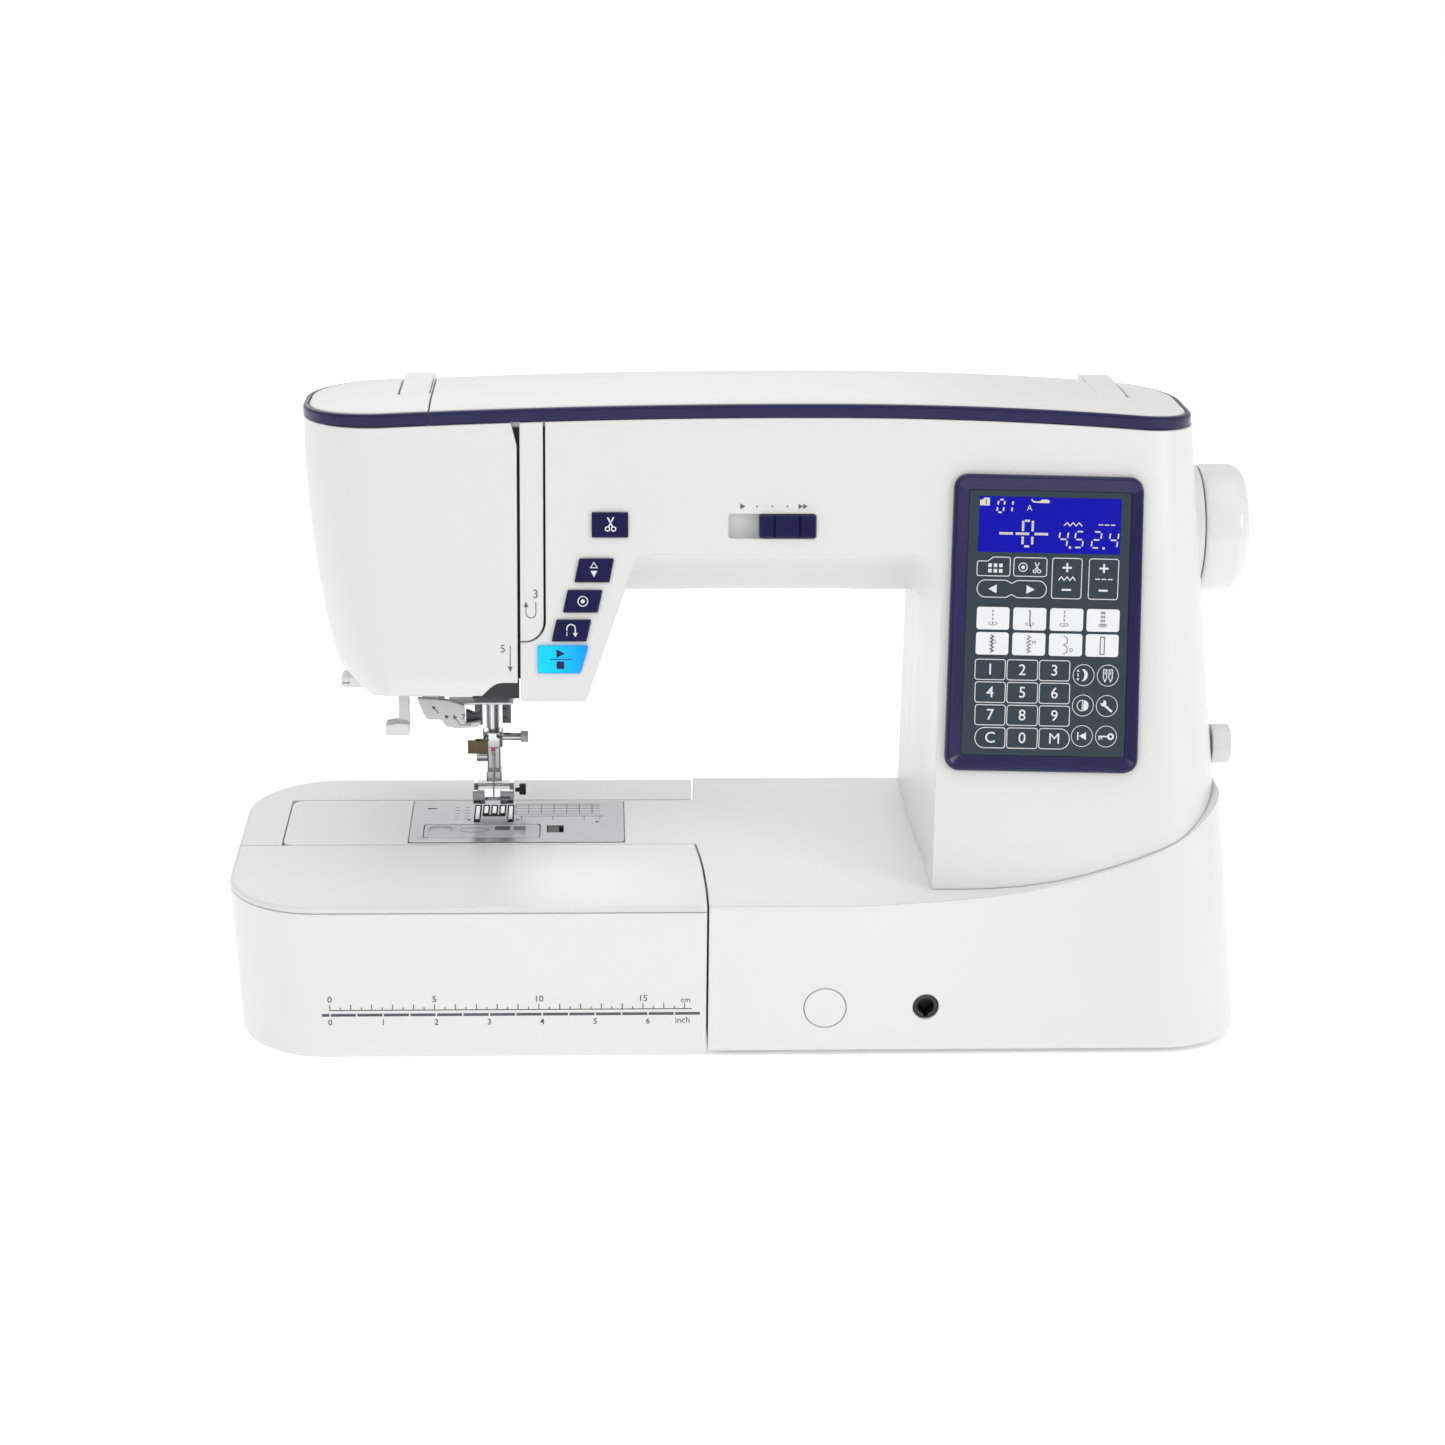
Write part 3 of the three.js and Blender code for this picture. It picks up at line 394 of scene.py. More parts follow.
# Polished steel with a painted reflection: its colour is darkened in bands by the way its faces point.
CHROME = material("polished_steel_painted_reflection", (0.74, 0.75, 0.76), 0.13, metallic=1.0, grain=0.01, mottle=0.03, edge=0.0003,
    reflection_bands=PAINTED_REFLECTION_BANDS)
STEEL = material("brushed_steel", (0.60, 0.61, 0.62), 0.3, metallic=1.0, grain=0.12, mottle=0.05,
    brushed=(0.08, 1.6, 1.0), edge=0.0002, rough_vary=0.25)
CAST = material("cast_alloy", (0.42, 0.43, 0.44), 0.5, metallic=0.9, grain=0.4, grain_scale=350, mottle=0.1)
PLATE_STEEL = material("plate_steel", (0.40, 0.405, 0.41), 0.34, metallic=0.9, grain=0.12, mottle=0.10,
    brushed=(0.08, 1.6, 1.0), edge=0.0002, rough_vary=0.25)
BRONZE = material("oiled_bronze", (0.13, 0.10, 0.055), 0.24, metallic=0.9, grain=0.05, mottle=0.15)
CAN = material("motor_paint", (0.09, 0.1, 0.11), 0.4, grain=0.15, mottle=0.1)
CLEAR = material("clear_plastic", (0.86, 0.88, 0.89), 0.08, alpha=0.38, edge=0.0)
LENS = material("lit_lens", (0.95, 0.97, 1.0), 0.25, glow=(1.0, 0.98, 0.95), glow_strength=2.5, edge=0.0)
LIT_KEY = material("lit_cyan", (0.0, 0.50, 0.85), 0.3, glow=(0.0, 0.5, 0.9), glow_strength=0.42, edge=0.0005,
    fade=((0.0, 0.20, 0.80), -0.094, -0.072))
DISPLAY = material("display_blue", (0.0, 0.0, 0.26), 0.35, glow=(0.0, 0.0, 0.55), glow_strength=0.28, specular=0.3,
    edge=0.0)
SEGMENT = material("display_segment", (0.62, 0.57, 0.46), 0.5, glow=(0.9, 0.85, 0.7), glow_strength=0.12, edge=0.0)
KEY_WHITE = material("key_white", (0.86, 0.87, 0.88), 0.35, grain=0.03, mottle=0.01, edge=0.0)
PRINT_GREY = material("print_grey", (0.16, 0.17, 0.19), 0.5, mottle=0.05, edge=0.0)
PRINT_LIGHT = material("print_light", (0.78, 0.79, 0.8), 0.45, mottle=0.02, edge=0.0)
BOARD = material("board_green", (0.02, 0.13, 0.06), 0.4, mottle=0.2)
GUNMETAL = material("dark_metal", (0.12, 0.12, 0.125), 0.35, metallic=0.8, grain=0.1, mottle=0.1, edge=0.0003)
PRINT_NAVY = material("print_navy", (0.006, 0.010, 0.06), 0.45, edge=0.0)
PRINT_MID = material("print_mid_grey", (0.12, 0.125, 0.135), 0.5, mottle=0.05, edge=0.0)
PRINT_BLUE = material("print_blue_grey", (0.085, 0.088, 0.11), 0.5, mottle=0.05, edge=0.0)
CHARCOAL = material("charcoal_plastic", (0.045, 0.047, 0.05), 0.28, grain=0.1, mottle=0.15, brushed=(1.0, 0.3, 3.0))
ENGRAVED = material("engraved_line", (0.08, 0.082, 0.085), 0.5, metallic=0.4, mottle=0.1, edge=0.0)
WHITE_SOFT = material("inner_white", (0.66, 0.66, 0.65), 0.5, mottle=0.02)
MAGENTA = material("needle_colour", (0.50, 0.03, 0.20), 0.3, mottle=0.03, edge=0.0)
CLEAR_WHITE = material("milky_plastic", (0.82, 0.85, 0.87), 0.15, alpha=0.62, edge=0.0)
GLOSS_WHITE = material("gloss_white", (0.80, 0.80, 0.78), 0.22, mottle=0.01, grain=0.02, edge=0.0005)

# ---- camera, light and floor
camera = bpy.data.objects.new("camera", bpy.data.cameras.new("camera"))
scene.collection.objects.link(camera)
scene.camera = camera
YAW, PITCH, ROLL = 0.04367, 0.34115, 0.01292
forward = Vector((math.sin(YAW) * math.cos(PITCH), math.cos(YAW) * math.cos(PITCH), -math.sin(PITCH)))
across = Vector((math.cos(YAW), -math.sin(YAW), 0.0))
upward = across.cross(forward)
view_right = across * math.cos(ROLL) + upward * math.sin(ROLL)
view_up = upward * math.cos(ROLL) - across * math.sin(ROLL)
turn = Matrix((view_right, view_up, -forward)).transposed().to_4x4()
camera.matrix_world = Matrix.Translation((Vector((52.66, -1335.54, 646.67)) - ORIGIN) * 0.001) @ turn
camera.data.sensor_width = 36.0
camera.data.lens = 3046.38 / 1445 * 36.0
camera.data.dof.use_dof = False


def lamp(name, where, target, size, power, color=(1, 1, 1), size_y=None):
    data = bpy.data.lights.new(name, "AREA")
    data.shape = "RECTANGLE"
    data.size = size
    data.size_y = size_y or size
    data.energy = power
    data.color = color
    obj = bpy.data.objects.new(name, data)
    scene.collection.objects.link(obj)
    obj.location = where
    obj.rotation_euler = (Vector(target) - Vector(where)).to_track_quat("-Z", "Y").to_euler()
    return obj


lamp("key", (-1.5, -1.9, 1.7), (0.05, 0, 0.15), 1.2, 10.5, (1.0, 0.995, 0.985))
lamp("fill", (1.9, -1.4, 1.0), (0.1, 0, 0.15), 0.8, 12, (0.97, 0.98, 1.0))
lamp("top", (0.1, -0.2, 2.0), (0.05, 0, 0.2), 1.6, 7.5)
lamp("rim", (-0.3, 1.8, 1.2), (0, 0, 0.2), 1.4, 5)
lamp("needle_light", (-0.084, -0.036, 0.160), (-0.0865, -0.056, 0.079), 0.03, 0.0045).data.spread = math.radians(95)

# The studio is bright above and behind and darker on the near side, so that polished pieces show contrast.
scene.view_settings.view_transform = "Standard"
world = bpy.data.worlds.new("studio")
scene.world = world
world.use_nodes = True
sky = world.node_tree
toward = sky.nodes.new("ShaderNodeTexCoord")
split = sky.nodes.new("ShaderNodeSeparateXYZ")
sky.links.new(toward.outputs["Generated"], split.inputs[0])
height = sky.nodes.new("ShaderNodeMath")
height.operation = "MULTIPLY_ADD"
height.inputs[1].default_value = 1.1
sky.links.new(split.outputs["Z"], height.inputs[0])
sky.links.new(split.outputs["Y"], height.inputs[2])
level = sky.nodes.new("ShaderNodeMapRange")
level.interpolation_type = "SMOOTHSTEP"
level.inputs["From Min"].default_value = -0.9
level.inputs["From Max"].default_value = 0.5
level.inputs["To Min"].default_value = 0.22
level.inputs["To Max"].default_value = 0.66
sky.links.new(height.outputs[0], level.inputs["Value"])
sky.links.new(level.outputs["Result"], sky.nodes["Background"].inputs[1])
sky.nodes["Background"].inputs[0].default_value = (0.98, 0.985, 1.0, 1)

floor = make("floor", [(-30, -30, 0), (30, -30, 0), (30, 30, 0), (-30, 30, 0)], [(0, 1, 2, 3)])
floor.data.materials.append(material("floor_white", (0.95, 0.95, 0.95), 0.9, edge=0.0, mottle=0.004, glow=(1, 1, 1),
    glow_strength=0.42))

# ---- the upper casing
ARC, RUN = 18, 72


def arc(cx, cy, r, a0, a1, count=ARC):
    return [(cx + r * math.cos(a0 + (a1 - a0) * i / count), cy + r * math.sin(a0 + (a1 - a0) * i / count))
        for i in range(count + 1)]


def half_and_half(x0, x1, y0, y1, fl, fr, br, bl, run=RUN):
    """A rounded outline as a front half (left to right) and a back half (right to left) of equal length."""
    pi = math.pi
    front = arc(x0 + fl, y0 + fl, fl, pi, 1.5 * pi)
    front += [(x0 + fl + (x1 - fr - x0 - fl) * i / run, y0) for i in range(1, run)]
    front += arc(x1 - fr, y0 + fr, fr, -0.5 * pi, 0)
    back = arc(x1 - br, y1 - br, br, 0, 0.5 * pi)
    back += [(x1 - br + (x0 + bl - x1 + br) * i / run, y1) for i in range(1, run)]
    back += arc(x0 + bl, y1 - bl, bl, 0.5 * pi, pi)
    return front + back


HEAD_PROFILE = [(150, 31.0), (160, 29.0), (165, 26.0), (168, 22.0), (169, 19.8), (170, 18.0), (171, 16.7),
    (173, 15.2), (176, 14.0), (180, 12.7), (185, 11.2), (195, 8.9), (205, 7.3), (216, 5.4), (226, 4.1), (236, 3.0),
    (246, 2.0), (256, 1.1), (266, 0.4), (276, 0.0), (330, 0.0)]
HEAD_SPAN = 70.0


def casing_point(p, z):
    """Leans the front and back walls, flares the right end and draws the head's left side in."""
    x, y = p
    top_front = front_y(TOP_Z)
    share = (y - top_front) / (BACK_TOP - top_front)
    y = front_y(z) + share * (back_y(z) - front_y(z))
    x += (right_x(z) - TOP_RIGHT) * max(0.0, (x - 200) / (TOP_RIGHT - 200))
    x += interpolate(HEAD_PROFILE, z) * smooth((HEAD_LEFT + HEAD_SPAN - x) / HEAD_SPAN)
    return (x, y, z)


def casing_outline(inset):
    return half_and_half(HEAD_LEFT + inset, TOP_RIGHT - inset, front_y(TOP_Z) + inset, BACK_TOP - inset,
        42 - inset, 28 - inset, 36 - inset, 34 - inset)


def casing_block(inset, z0, z1, step=6.0):
    count = max(2, round((z1 - z0) / step))
    outline = casing_outline(inset)
    levels = [z0 + (z1 - z0) * i / count for i in range(count + 1)]
    return loft("casing", [[casing_point(p, z) for p in outline] for z in levels], strip=True)


def arch(x):
    return 300.5 - 1.16e-4 * (x - 165) ** 2 - 1.35e-4 * max(0.0, x - 165) ** 2


def arch_line(lift, x0=-110.0, x1=430.0, count=90):
    return [(x0 + (x1 - x0) * i / count, arch(x0 + (x1 - x0) * i / count) + lift) for i in range(count + 1)]


SLANT = 0.36
NOSE_X = 46.0


def slant_x(z):
    return NOSE_X + (z - HEAD_BOTTOM) * SLANT


def bottom_z(y):
    """The head's underside falls a little towards the back."""
    return interpolate([(36, 172.6), (46, 169.6), (60, 165.0), (72, 161.4), (85, 159.8), (220, 159.5)], y)


def head_below(grow=0.0, x0=-150, x1=15.6, lift=0.0):
    """Everything under one stretch of the head; `lift` lowers the nose when it is negative."""
    ys = [-30, 30, 36, 44, 52, 60, 68, 76, 85, 100, 230]
    rings = []
    for y in ys:
        b = bottom_z(y) + grow + lift
        right = x1 if x1 < 40 else slant_x(b) - grow
        rings.append([(x0, y, b), (x0, y, 40), (right, y, 40), (right, y, b)])
    return loft("below", rings)


NOSE = dict(x0=15.6, x1=60, lift=-2.6)


def harp(grow=0.0):
    outline = rounded([(slant_x(100) - grow, 100), (slant_x(ARM_UNDERSIDE) - grow, ARM_UNDERSIDE + grow, 5),
        (COLUMN_LEFT + grow, ARM_UNDERSIDE + grow, 6), (COLUMN_LEFT + grow, 40),
        (slant_x(100) - grow, 40)], 14)
    return along("y", outline, -30, 230)


SPLAY_TOP, SPLAY_SIDE = 238.0, 217.6
BLEND = [(50, 0.0), (55, 0.03), (60, 0.09), (68, 0.25), (78, 0.50), (88, 0.73), (97, 0.90), (103, 0.975), (107, 1.0)]


def splay(grow=0.0):
    def outline(top, side, radius, drift):
        return rounded([(slant_x(100) - grow, 100), (slant_x(top) - grow, top + grow, 6),
            (side + grow, top + grow, radius), (side + grow - drift, 40),
            (slant_x(100) - grow, 40)], 20)
    wide = outline(SPLAY_TOP, SPLAY_SIDE, 16, 4.4)
    narrow = outline(ARM_UNDERSIDE, COLUMN_LEFT, 6, 0)
    rings = [[(x, -40, z) for x, z in wide]]
    rings += [[(*(p.lerp(q, share)), y) for p, q in zip(wide, narrow)] for y, share in BLEND]
    return loft("splay", rings[:1] + [[(x, y, z) for x, z, y in ring] for ring in rings[1:]])


SEAM = [(200, 79), (214, 79), (232, 79), (244, 79.3), (258, 80.2), (275, 82.6), (288, 85.4), (301, 89.0), (313, 92.8),
    (324, 97.0), (334, 101.5), (342, 106.0), (349, 111.0), (354, 115.5), (360, 122.5), (368, 138.0), (372, 150)]


def seam_line(lift):
    return [(x, interpolate(SEAM, x) + lift) for x in [90, 200] + [204 + 3 * i for i in range(58)]]


def below_seam(lift=0.0):
    return along("y", [(90, -20), (430, -20), (430, 175 + lift)] + seam_line(lift)[::-1], -20, 230)


def above_trim(lift=0.0):
    return along("y", [(430, 350), (-110, 350)] + arch_line(lift), -30, 230)


shell = join(casing_block(0, 55, 325), rod("x", 30.9, 338, 350.0, SHAFT_AT, 96, 0.6))
cut(shell, head_below(), head_below(**NOSE), harp(), splay(), above_trim(), below_seam(GAP))
core = casing_block(WALL, 45, 335)
cut(core, head_below(WALL), head_below(WALL, **NOSE), harp(WALL), splay(WALL))
cut(shell, core)

mouth = box(-56, 40, 58, 152, 140, 174)
GUIDE_BOTTOM = 197.0


def guide(left, right, low, radius, y0, y1):
    return along("y", rounded([(left, low, 0), (right, low, radius), (right, 340, 0), (left, 340, 0)], 14), y0, y1)


BUTTONS = {
    "thread_cutter_button": [(51, 170.9), (66.8, 170.9), (66.8, 181.5), (51, 181.5)],
    "needle_position_button": [(42.7, 149.6), (57.9, 149.6), (60.1, 159.6), (45.1, 159.6)],
    "lock_stitch_button": [(37.2, 135.2), (52.3, 135.2), (54.7, 144.6), (39.6, 144.6)],
    "reverse_button": [(31.8, 121.4), (46.9, 121.4), (49.3, 130.5), (34.2, 130.5)],
    "start_stop_button": [(25.2, 106.2), (44.1, 106.2), (48.0, 118.2), (25.2, 118.2)],
}


def on_face(u, v, w=0.0):
    """A point of the leaning front: u to the right, v up the slope from the bed, w out of the face."""
    return (u, FACE_FOOT + v * LEAN / STEEP - w / STEEP, BED_TOP + v / STEEP + w * LEAN / STEEP)


def grown(corners, grow):
    cx = sum(c[0] for c in corners) / len(corners)
    cy = sum(c[1] for c in corners) / len(corners)
    return [(x + math.copysign(grow, x - cx), y + math.copysign(grow, y - cy)) for x, y in corners]


def face_prism(points, levels, at=on_face):
    """Levels are (w, inset) pairs; points is a function of the inset that returns an outline."""
    return loft("face", [[at(u, v, w) for u, v in points(inset)] for w, inset in levels])


def button_outline(name, radius=1.1, grow=0.0):
    return lambda inset: rounded([(x, y, max(radius - inset, 0.1)) for x, y in grown(BUTTONS[name], grow - inset)], 6)


DIAL_AT = (75.0, 134.0)
PANEL_AT, PANEL_TURN = (268.3, up_face(205.2) - 0.7), math.radians(-1.2)
BEZEL_OUTER = [(-47.6, -71.0, 7.0), (46.0, -71.0, 7.0), (43.5, 71.5, 7.0), (-47.3, 71.5, 7.0)]
BEZEL_INNER = [(-39.8, -63.5, 1.0), (39.5, -63.5, 1.0), (38.0, 64.0, 1.0), (-39.8, 64.0, 1.0)]


def on_panel(a, b, w=0.0):
    """A point on the key panel: a to the right and b up from its middle, w out of the face."""
    c, s = math.cos(PANEL_TURN), math.sin(PANEL_TURN)
    return on_face(PANEL_AT[0] + a * c - b * s, PANEL_AT[1] + a * s + b * c, w)


def bezel_ring(share, w):
    corners = [[o + (i - o) * share for o, i in zip(*pair)] for pair in zip(BEZEL_OUTER, BEZEL_INNER)]
    return [on_panel(*p, w) for p in rounded(corners, 8)]


def panel_hole():
    return loft("hole", [bezel_ring(0.6, -12), bezel_ring(0.6, 12)])


front = cut(overlap(copy(shell), box(16.3, 440, -20, SPLIT_Y, 50, 330)),
    guide(14.9, 28.4, GUIDE_BOTTOM - 0.8, 9.8, -20, 112))
cut(front, copy(mouth), soft_box(96, 179, 106, 122, 190, 216, 5), panel_hole(),
    *[face_prism(button_outline(n, 1.2, 0.4), [(-12, 0), (8, 0)]) for n in BUTTONS],
    face_prism(lambda i: rectangle(115.2, 169.7, 157.0, 181.4, 1.4), [(-12, 0), (8, 0)]),
    rod("x", 4, 330, 372, DIAL_AT), rod("x", 12, 330, 370, SHAFT_AT))

HANDLE_Y, HANDLE_Z = 112.0, 296.4
KNUCKLES = [(-42.4, -28.2), (297.0, 311.0)]


def notches(which=(0, 1)):
    return [box(KNUCKLES[i][0] - 0.8, KNUCKLES[i][1] + 0.8, HANDLE_Y - 6.6, 230, HANDLE_Z - 9, 330) for i in which]


rear = cut(overlap(copy(shell), box(-120, 440, SPLIT_Y + 0.35, 230, 50, 330)), copy(mouth),
    rod("x", 12, 330, 370, SHAFT_AT), box(9, 25, 150, 185, 170, 200), *notches())
face = cut(overlap(copy(shell), box(-120, 14.9, -20, SPLIT_Y, 100, 330)), copy(mouth),
    along("y", [(11.3, 301), (15.2, 286), (20, 286), (20, 301)], 30, 90),
    along("y", rounded([(-4.6, 150), (20, 150), (20, 177.4), (4.4, 177.4, 9), (-4.6, 168.5, 3)], 8), 20, 75),
    along("x", [(front_y(177.5), 177.5), (front_y(177.5) - 0.3, 158), (15, 158), (15, 177.5)], -110, 20))
strip = cut(overlap(casing_block(0, 100, 325), guide(16.3, 27.3, GUIDE_BOTTOM, 9, 20, 110)),
    casing_block(WALL, 90, 330), above_trim())
bpy.data.objects.remove(shell)
bpy.data.objects.remove(mouth)
piece("casing_front", front, WHITE, "machine", ["front_cover"])
piece("casing_rear", rear, WHITE, "machine", ["rear_cover"])
piece("casing_face", face, WHITE, "machine", ["face_cover"])
piece("thread_guide_strip", strip, WHITE, "machine", ["thread_guide_cover"])

# ---- top: cap, lid and their trims
FALL = 0.045


def top_solid(levels, inner):
    """Rings of (inset, lift) round the casing outline; the lift rides on the arch and falls to the back."""
    rings = []
    for inset, lift in levels:
        ring = []
        for p in casing_outline(inset):
            x, y, _ = casing_point(p, 300)
            fall = FALL * (y - 68) if lift > 1 else 0.0
            ring.append((x, y, arch(x) + lift - fall))
        rings.append(ring)
    if inner:
        return loft("ring", rings, closed=True)
    return loft("top", rings, strip=True)


def trim_ring():
    return top_solid([(0, 0.35), (-0.3, 1.2), (-0.3, TRIM - 1.6), (0.3, TRIM - 0.7), (1.2, TRIM - 0.4),
        (2.4, TRIM - 0.4), (2.4, 0.35)], True)


def top_skin():
    outer = top_solid([(2.7, -3), (2.7, TRIM - 1.4), (2.9, TRIM - 0.6), (3.6, TRIM - 0.1), (6, TRIM + 0.1),
        (14, TRIM + 0.9), (24, TRIM + 1.6), (27.5, TRIM + 1.7)], False)
    inner = top_solid([(5.4, -12), (5.4, TRIM - 2.6), (26, TRIM - 1.6)], False)
    return cut(outer, inner)


cap_side = box(-120, CAP_SEAM - 0.4, 0, 230, 200, 340)
lid_side = box(CAP_SEAM + 0.4, 440, 0, 230, 200, 340)
skin = top_skin()
ring = trim_ring()
cap = cut(overlap(copy(skin), copy(cap_side)), *notches())
cap_trim = cut(overlap(copy(ring), cap_side), box(-44.8, 0, 140, 230, 280, 330))
lid = cut(overlap(skin, copy(lid_side)), *notches())
lid_trim = cut(overlap(ring, lid_side), box(-50, 317.8, 140, 230, 280, 330))
piece("cap_skin", cap, WHITE, "machine", ["top_cap"])
piece("cap_band", cap_trim, NAVY, "machine", ["top_cap_trim"])
piece("lid_skin", lid, WHITE, "lid", ["top_lid"])
piece("lid_band", lid_trim, NAVY, "lid", ["top_lid_trim"])

GRIP_Y, GRIP_Z, GRIP_R = 172.0, 285.0, 6.0
KNUCKLE_R = 5.4


def handle_arm(x0, x1):
    side = rounded([(HANDLE_Y, HANDLE_Z - KNUCKLE_R), (GRIP_Y - 4, 290, 3), (GRIP_Y - 5.6, GRIP_Z),
        (GRIP_Y + 5.6, GRIP_Z), (GRIP_Y + 2.4, 297.8, 6), (164, 299.4), (HANDLE_Y, HANDLE_Z + KNUCKLE_R)], 8)
    return [along("x", side, x0, x1), rod("x", KNUCKLE_R, x0, x1, (HANDLE_Y, HANDLE_Z), 48),
        rod("x", 6, x0, x1, (GRIP_Y, GRIP_Z), 48)]


grip = rod("x", GRIP_R, KNUCKLES[0][0] + 1, KNUCKLES[1][1] - 1, (GRIP_Y, GRIP_Z), 48)
join(grip, *handle_arm(*KNUCKLES[0]), *handle_arm(*KNUCKLES[1]))
piece("handle_bail", grip, WHITE, "handle", ["carrying_handle"], bevel=0.5)

# ---- base, bed and free arm
TABLE_SEAM = [(-20, 105.0), (20, 104.9), (34, 104.5), (48, 104.0), (59, 103.3), (68, 102.5), (75, 101.7), (81, 101.0),
    (143, 101.4), (174, 102.2), (200, 102.6)]
SEAM_WIDTH = 1.0


def beside_seam(far, shift=0.0):
    """Everything between the table's end and a far X, to part the table from the base."""
    return along("z", [(x + shift, y) for y, x in TABLE_SEAM] + [(far, 200), (far, -20)], -10, 120)


def base_outline(inset):
    pi = math.pi
    x0, x1, y0, y1, fr, br = 100 + inset, TOP_RIGHT - inset, inset, BED_DEPTH - inset, 34 - inset, 30 - inset
    run = 90
    front = [(x0 + (x1 - fr - x0) * i / run, y0) for i in range(run)] + arc(x1 - fr, y0 + fr, fr, -0.5 * pi, 0)
    back = arc(x1 - br, y1 - br, br, 0, 0.5 * pi) + [(x1 - br + (x0 - x1 + br) * i / run, y1) for i in range(1,
        run + 1)]
    return front + back


def base_point(p, z):
    x, y = p
    towards = smooth((x - 170) / 120)
    y += towards * (z - BED_GAP) * 0.235 * max(0.0, 1 - y / (BED_DEPTH / 2))
    x += (right_x(z) - TOP_RIGHT) * max(0.0, (x - 200) / (TOP_RIGHT - 200))
    return (x, y, z)


def base_block(inset, levels):
    return loft("base", [[base_point(p, z) for p in base_outline(inset + extra)] for z, extra in levels], strip=True)


def straight(z0, z1, count):
    return [(z0 + (z1 - z0) * i / count, 0.0) for i in range(count + 1)]


def arm_block(inset, top, r=6.0):
    return soft_box(ARM_LEFT + inset, TABLE_RIGHT + 12, ARM_FRONT + inset, ARM_BACK - inset, ARM_BOTTOM + inset, top,
        r, 0.5)


PLATE = dict(left=-41.6, right=66.2, front=83.0, back=140.0, top=79.3, thick=2.0)
low = overlap(base_block(0, [(BED_GAP, 1.2), (BED_GAP + 0.5, 0.4), (BED_GAP + 1.4, 0)] + straight(8, 172, 24)),
    below_seam())
cut(low, beside_seam(-60, SEAM_WIDTH))
join(low, arm_block(0, BED_TOP))
cut(low, overlap(base_block(WALL, straight(BED_GAP - 5, BED_TOP - WALL, 6)), box(108, 440, -20, 230, -20, 100)),
    arm_block(WALL, BED_TOP - WALL),
    overlap(casing_block(WALL + 0.4, 50, 190), box(COLUMN_LEFT + 14, 440, 0, 200, 50, 190)),
    rod("y", 6.4, -5, 12, (211.2, 25.5), 48), rod("y", 10.4, -5, 12, (162.3, 25.8), 64),
    box(PLATE["left"] - 0.3, PLATE["right"] + 0.3, PLATE["front"] - 0.3, PLATE["back"] + 0.3, 70, 90),
    rod("x", 4, 330, 372, DIAL_AT),
    box(355, 385, 122.5, 137.5, 23, 45), box(356, 385, 84, 110, 25, 43), box(24, 56, 135, 150, 40.8, 47.2))
piece("base_shell", low, WHITE, "machine", ["base_cover"])

TAPER = 0.05


def table_outline(inset):
    pi = math.pi
    x0, x1, y0, y1, r = TABLE_LEFT + inset, TABLE_RIGHT + 3 - inset, inset, BED_DEPTH - inset, 45 - inset
    run = 60
    front = arc(x0 + r, y0 + r, r, pi, 1.5 * pi, 24) + [(x0 + r + (x1 - x0 - r) * i / run, y0) for i in range(1,
        run + 1)]
    back = [(x1 + (x0 + r - x1) * i / run, y1) for i in range(run)] + arc(x0 + r, y1 - r, r, 0.5 * pi, pi, 24)
    return front + back


def table_block(inset, levels):
    return loft("table", [[(x + (BED_TOP - z) * TAPER * max(0.0, x / TABLE_LEFT), y, z)
        for x, y in table_outline(inset + extra)] for z, extra in levels], strip=True)


TOP_EDGE = [(BED_TOP - 2.2, 0.0), (BED_TOP - 1.2, 0.35), (BED_TOP - 0.5, 1.0), (BED_TOP, 2.2)]
LID_BOTTOM, LID_BACK = 76.2, 80.0
body = table_block(0, [(0.6, 1.6), (1.2, 0.6), (2.4, 0.0)] + straight(8, 70, 4) + TOP_EDGE)
cut(body, box(ARM_LEFT - 0.4, 240, ARM_FRONT - 0.4, ARM_BACK + 0.4, ARM_BOTTOM - 2.5, 100),
    overlap(table_block(WALL, straight(4, 100, 4)), box(-200, 200, -20, 77, 4, 100)),
    overlap(table_block(WALL, straight(-5, BED_TOP - WALL, 4)), box(-200, 200, ARM_BACK + 3.4, 200, -5, 100)),
    box(-200, 200, -20, LID_BACK + 0.4, LID_BOTTOM - 0.35, 100), beside_seam(160))
piece("table_shell", body, WHITE, "table", ["extension_table"])
cover = cut(overlap(table_block(0.0, [(LID_BOTTOM, 0.0)] + TOP_EDGE[1:]), box(-200, 200, -20, LID_BACK, 60, 100)),
    beside_seam(160))
piece("storage_cover", cover, WHITE, "storage", ["storage_lid"])

# ---- wheel
wheel = turned("x", [(0, 316), (23.6, 316), (23.6, 317), (22, 317.2), (22, 324.8), (23.6, 325), (23.6, 326),
    (10.5, 326),
    (10.5, 350.6), (30.4, 350.6), (31.1, 351.0), (31.5, 352), (31.7, 353.4), (31.7, 365.6), (31.5, 367.2),
    (30.9, 368.9), (29.8, 370.6), (28.2, 371.9), (26, 372.6), (23.5, 372.8), (0, 372.8)], SHAFT_AT, 96)
cut(wheel, rod("x", 4.3, 300, 369, SHAFT_AT, 32))
piece("wheel_rim", wheel, GLOSS_WHITE, "upper_drive", ["handwheel"], sharp=40)

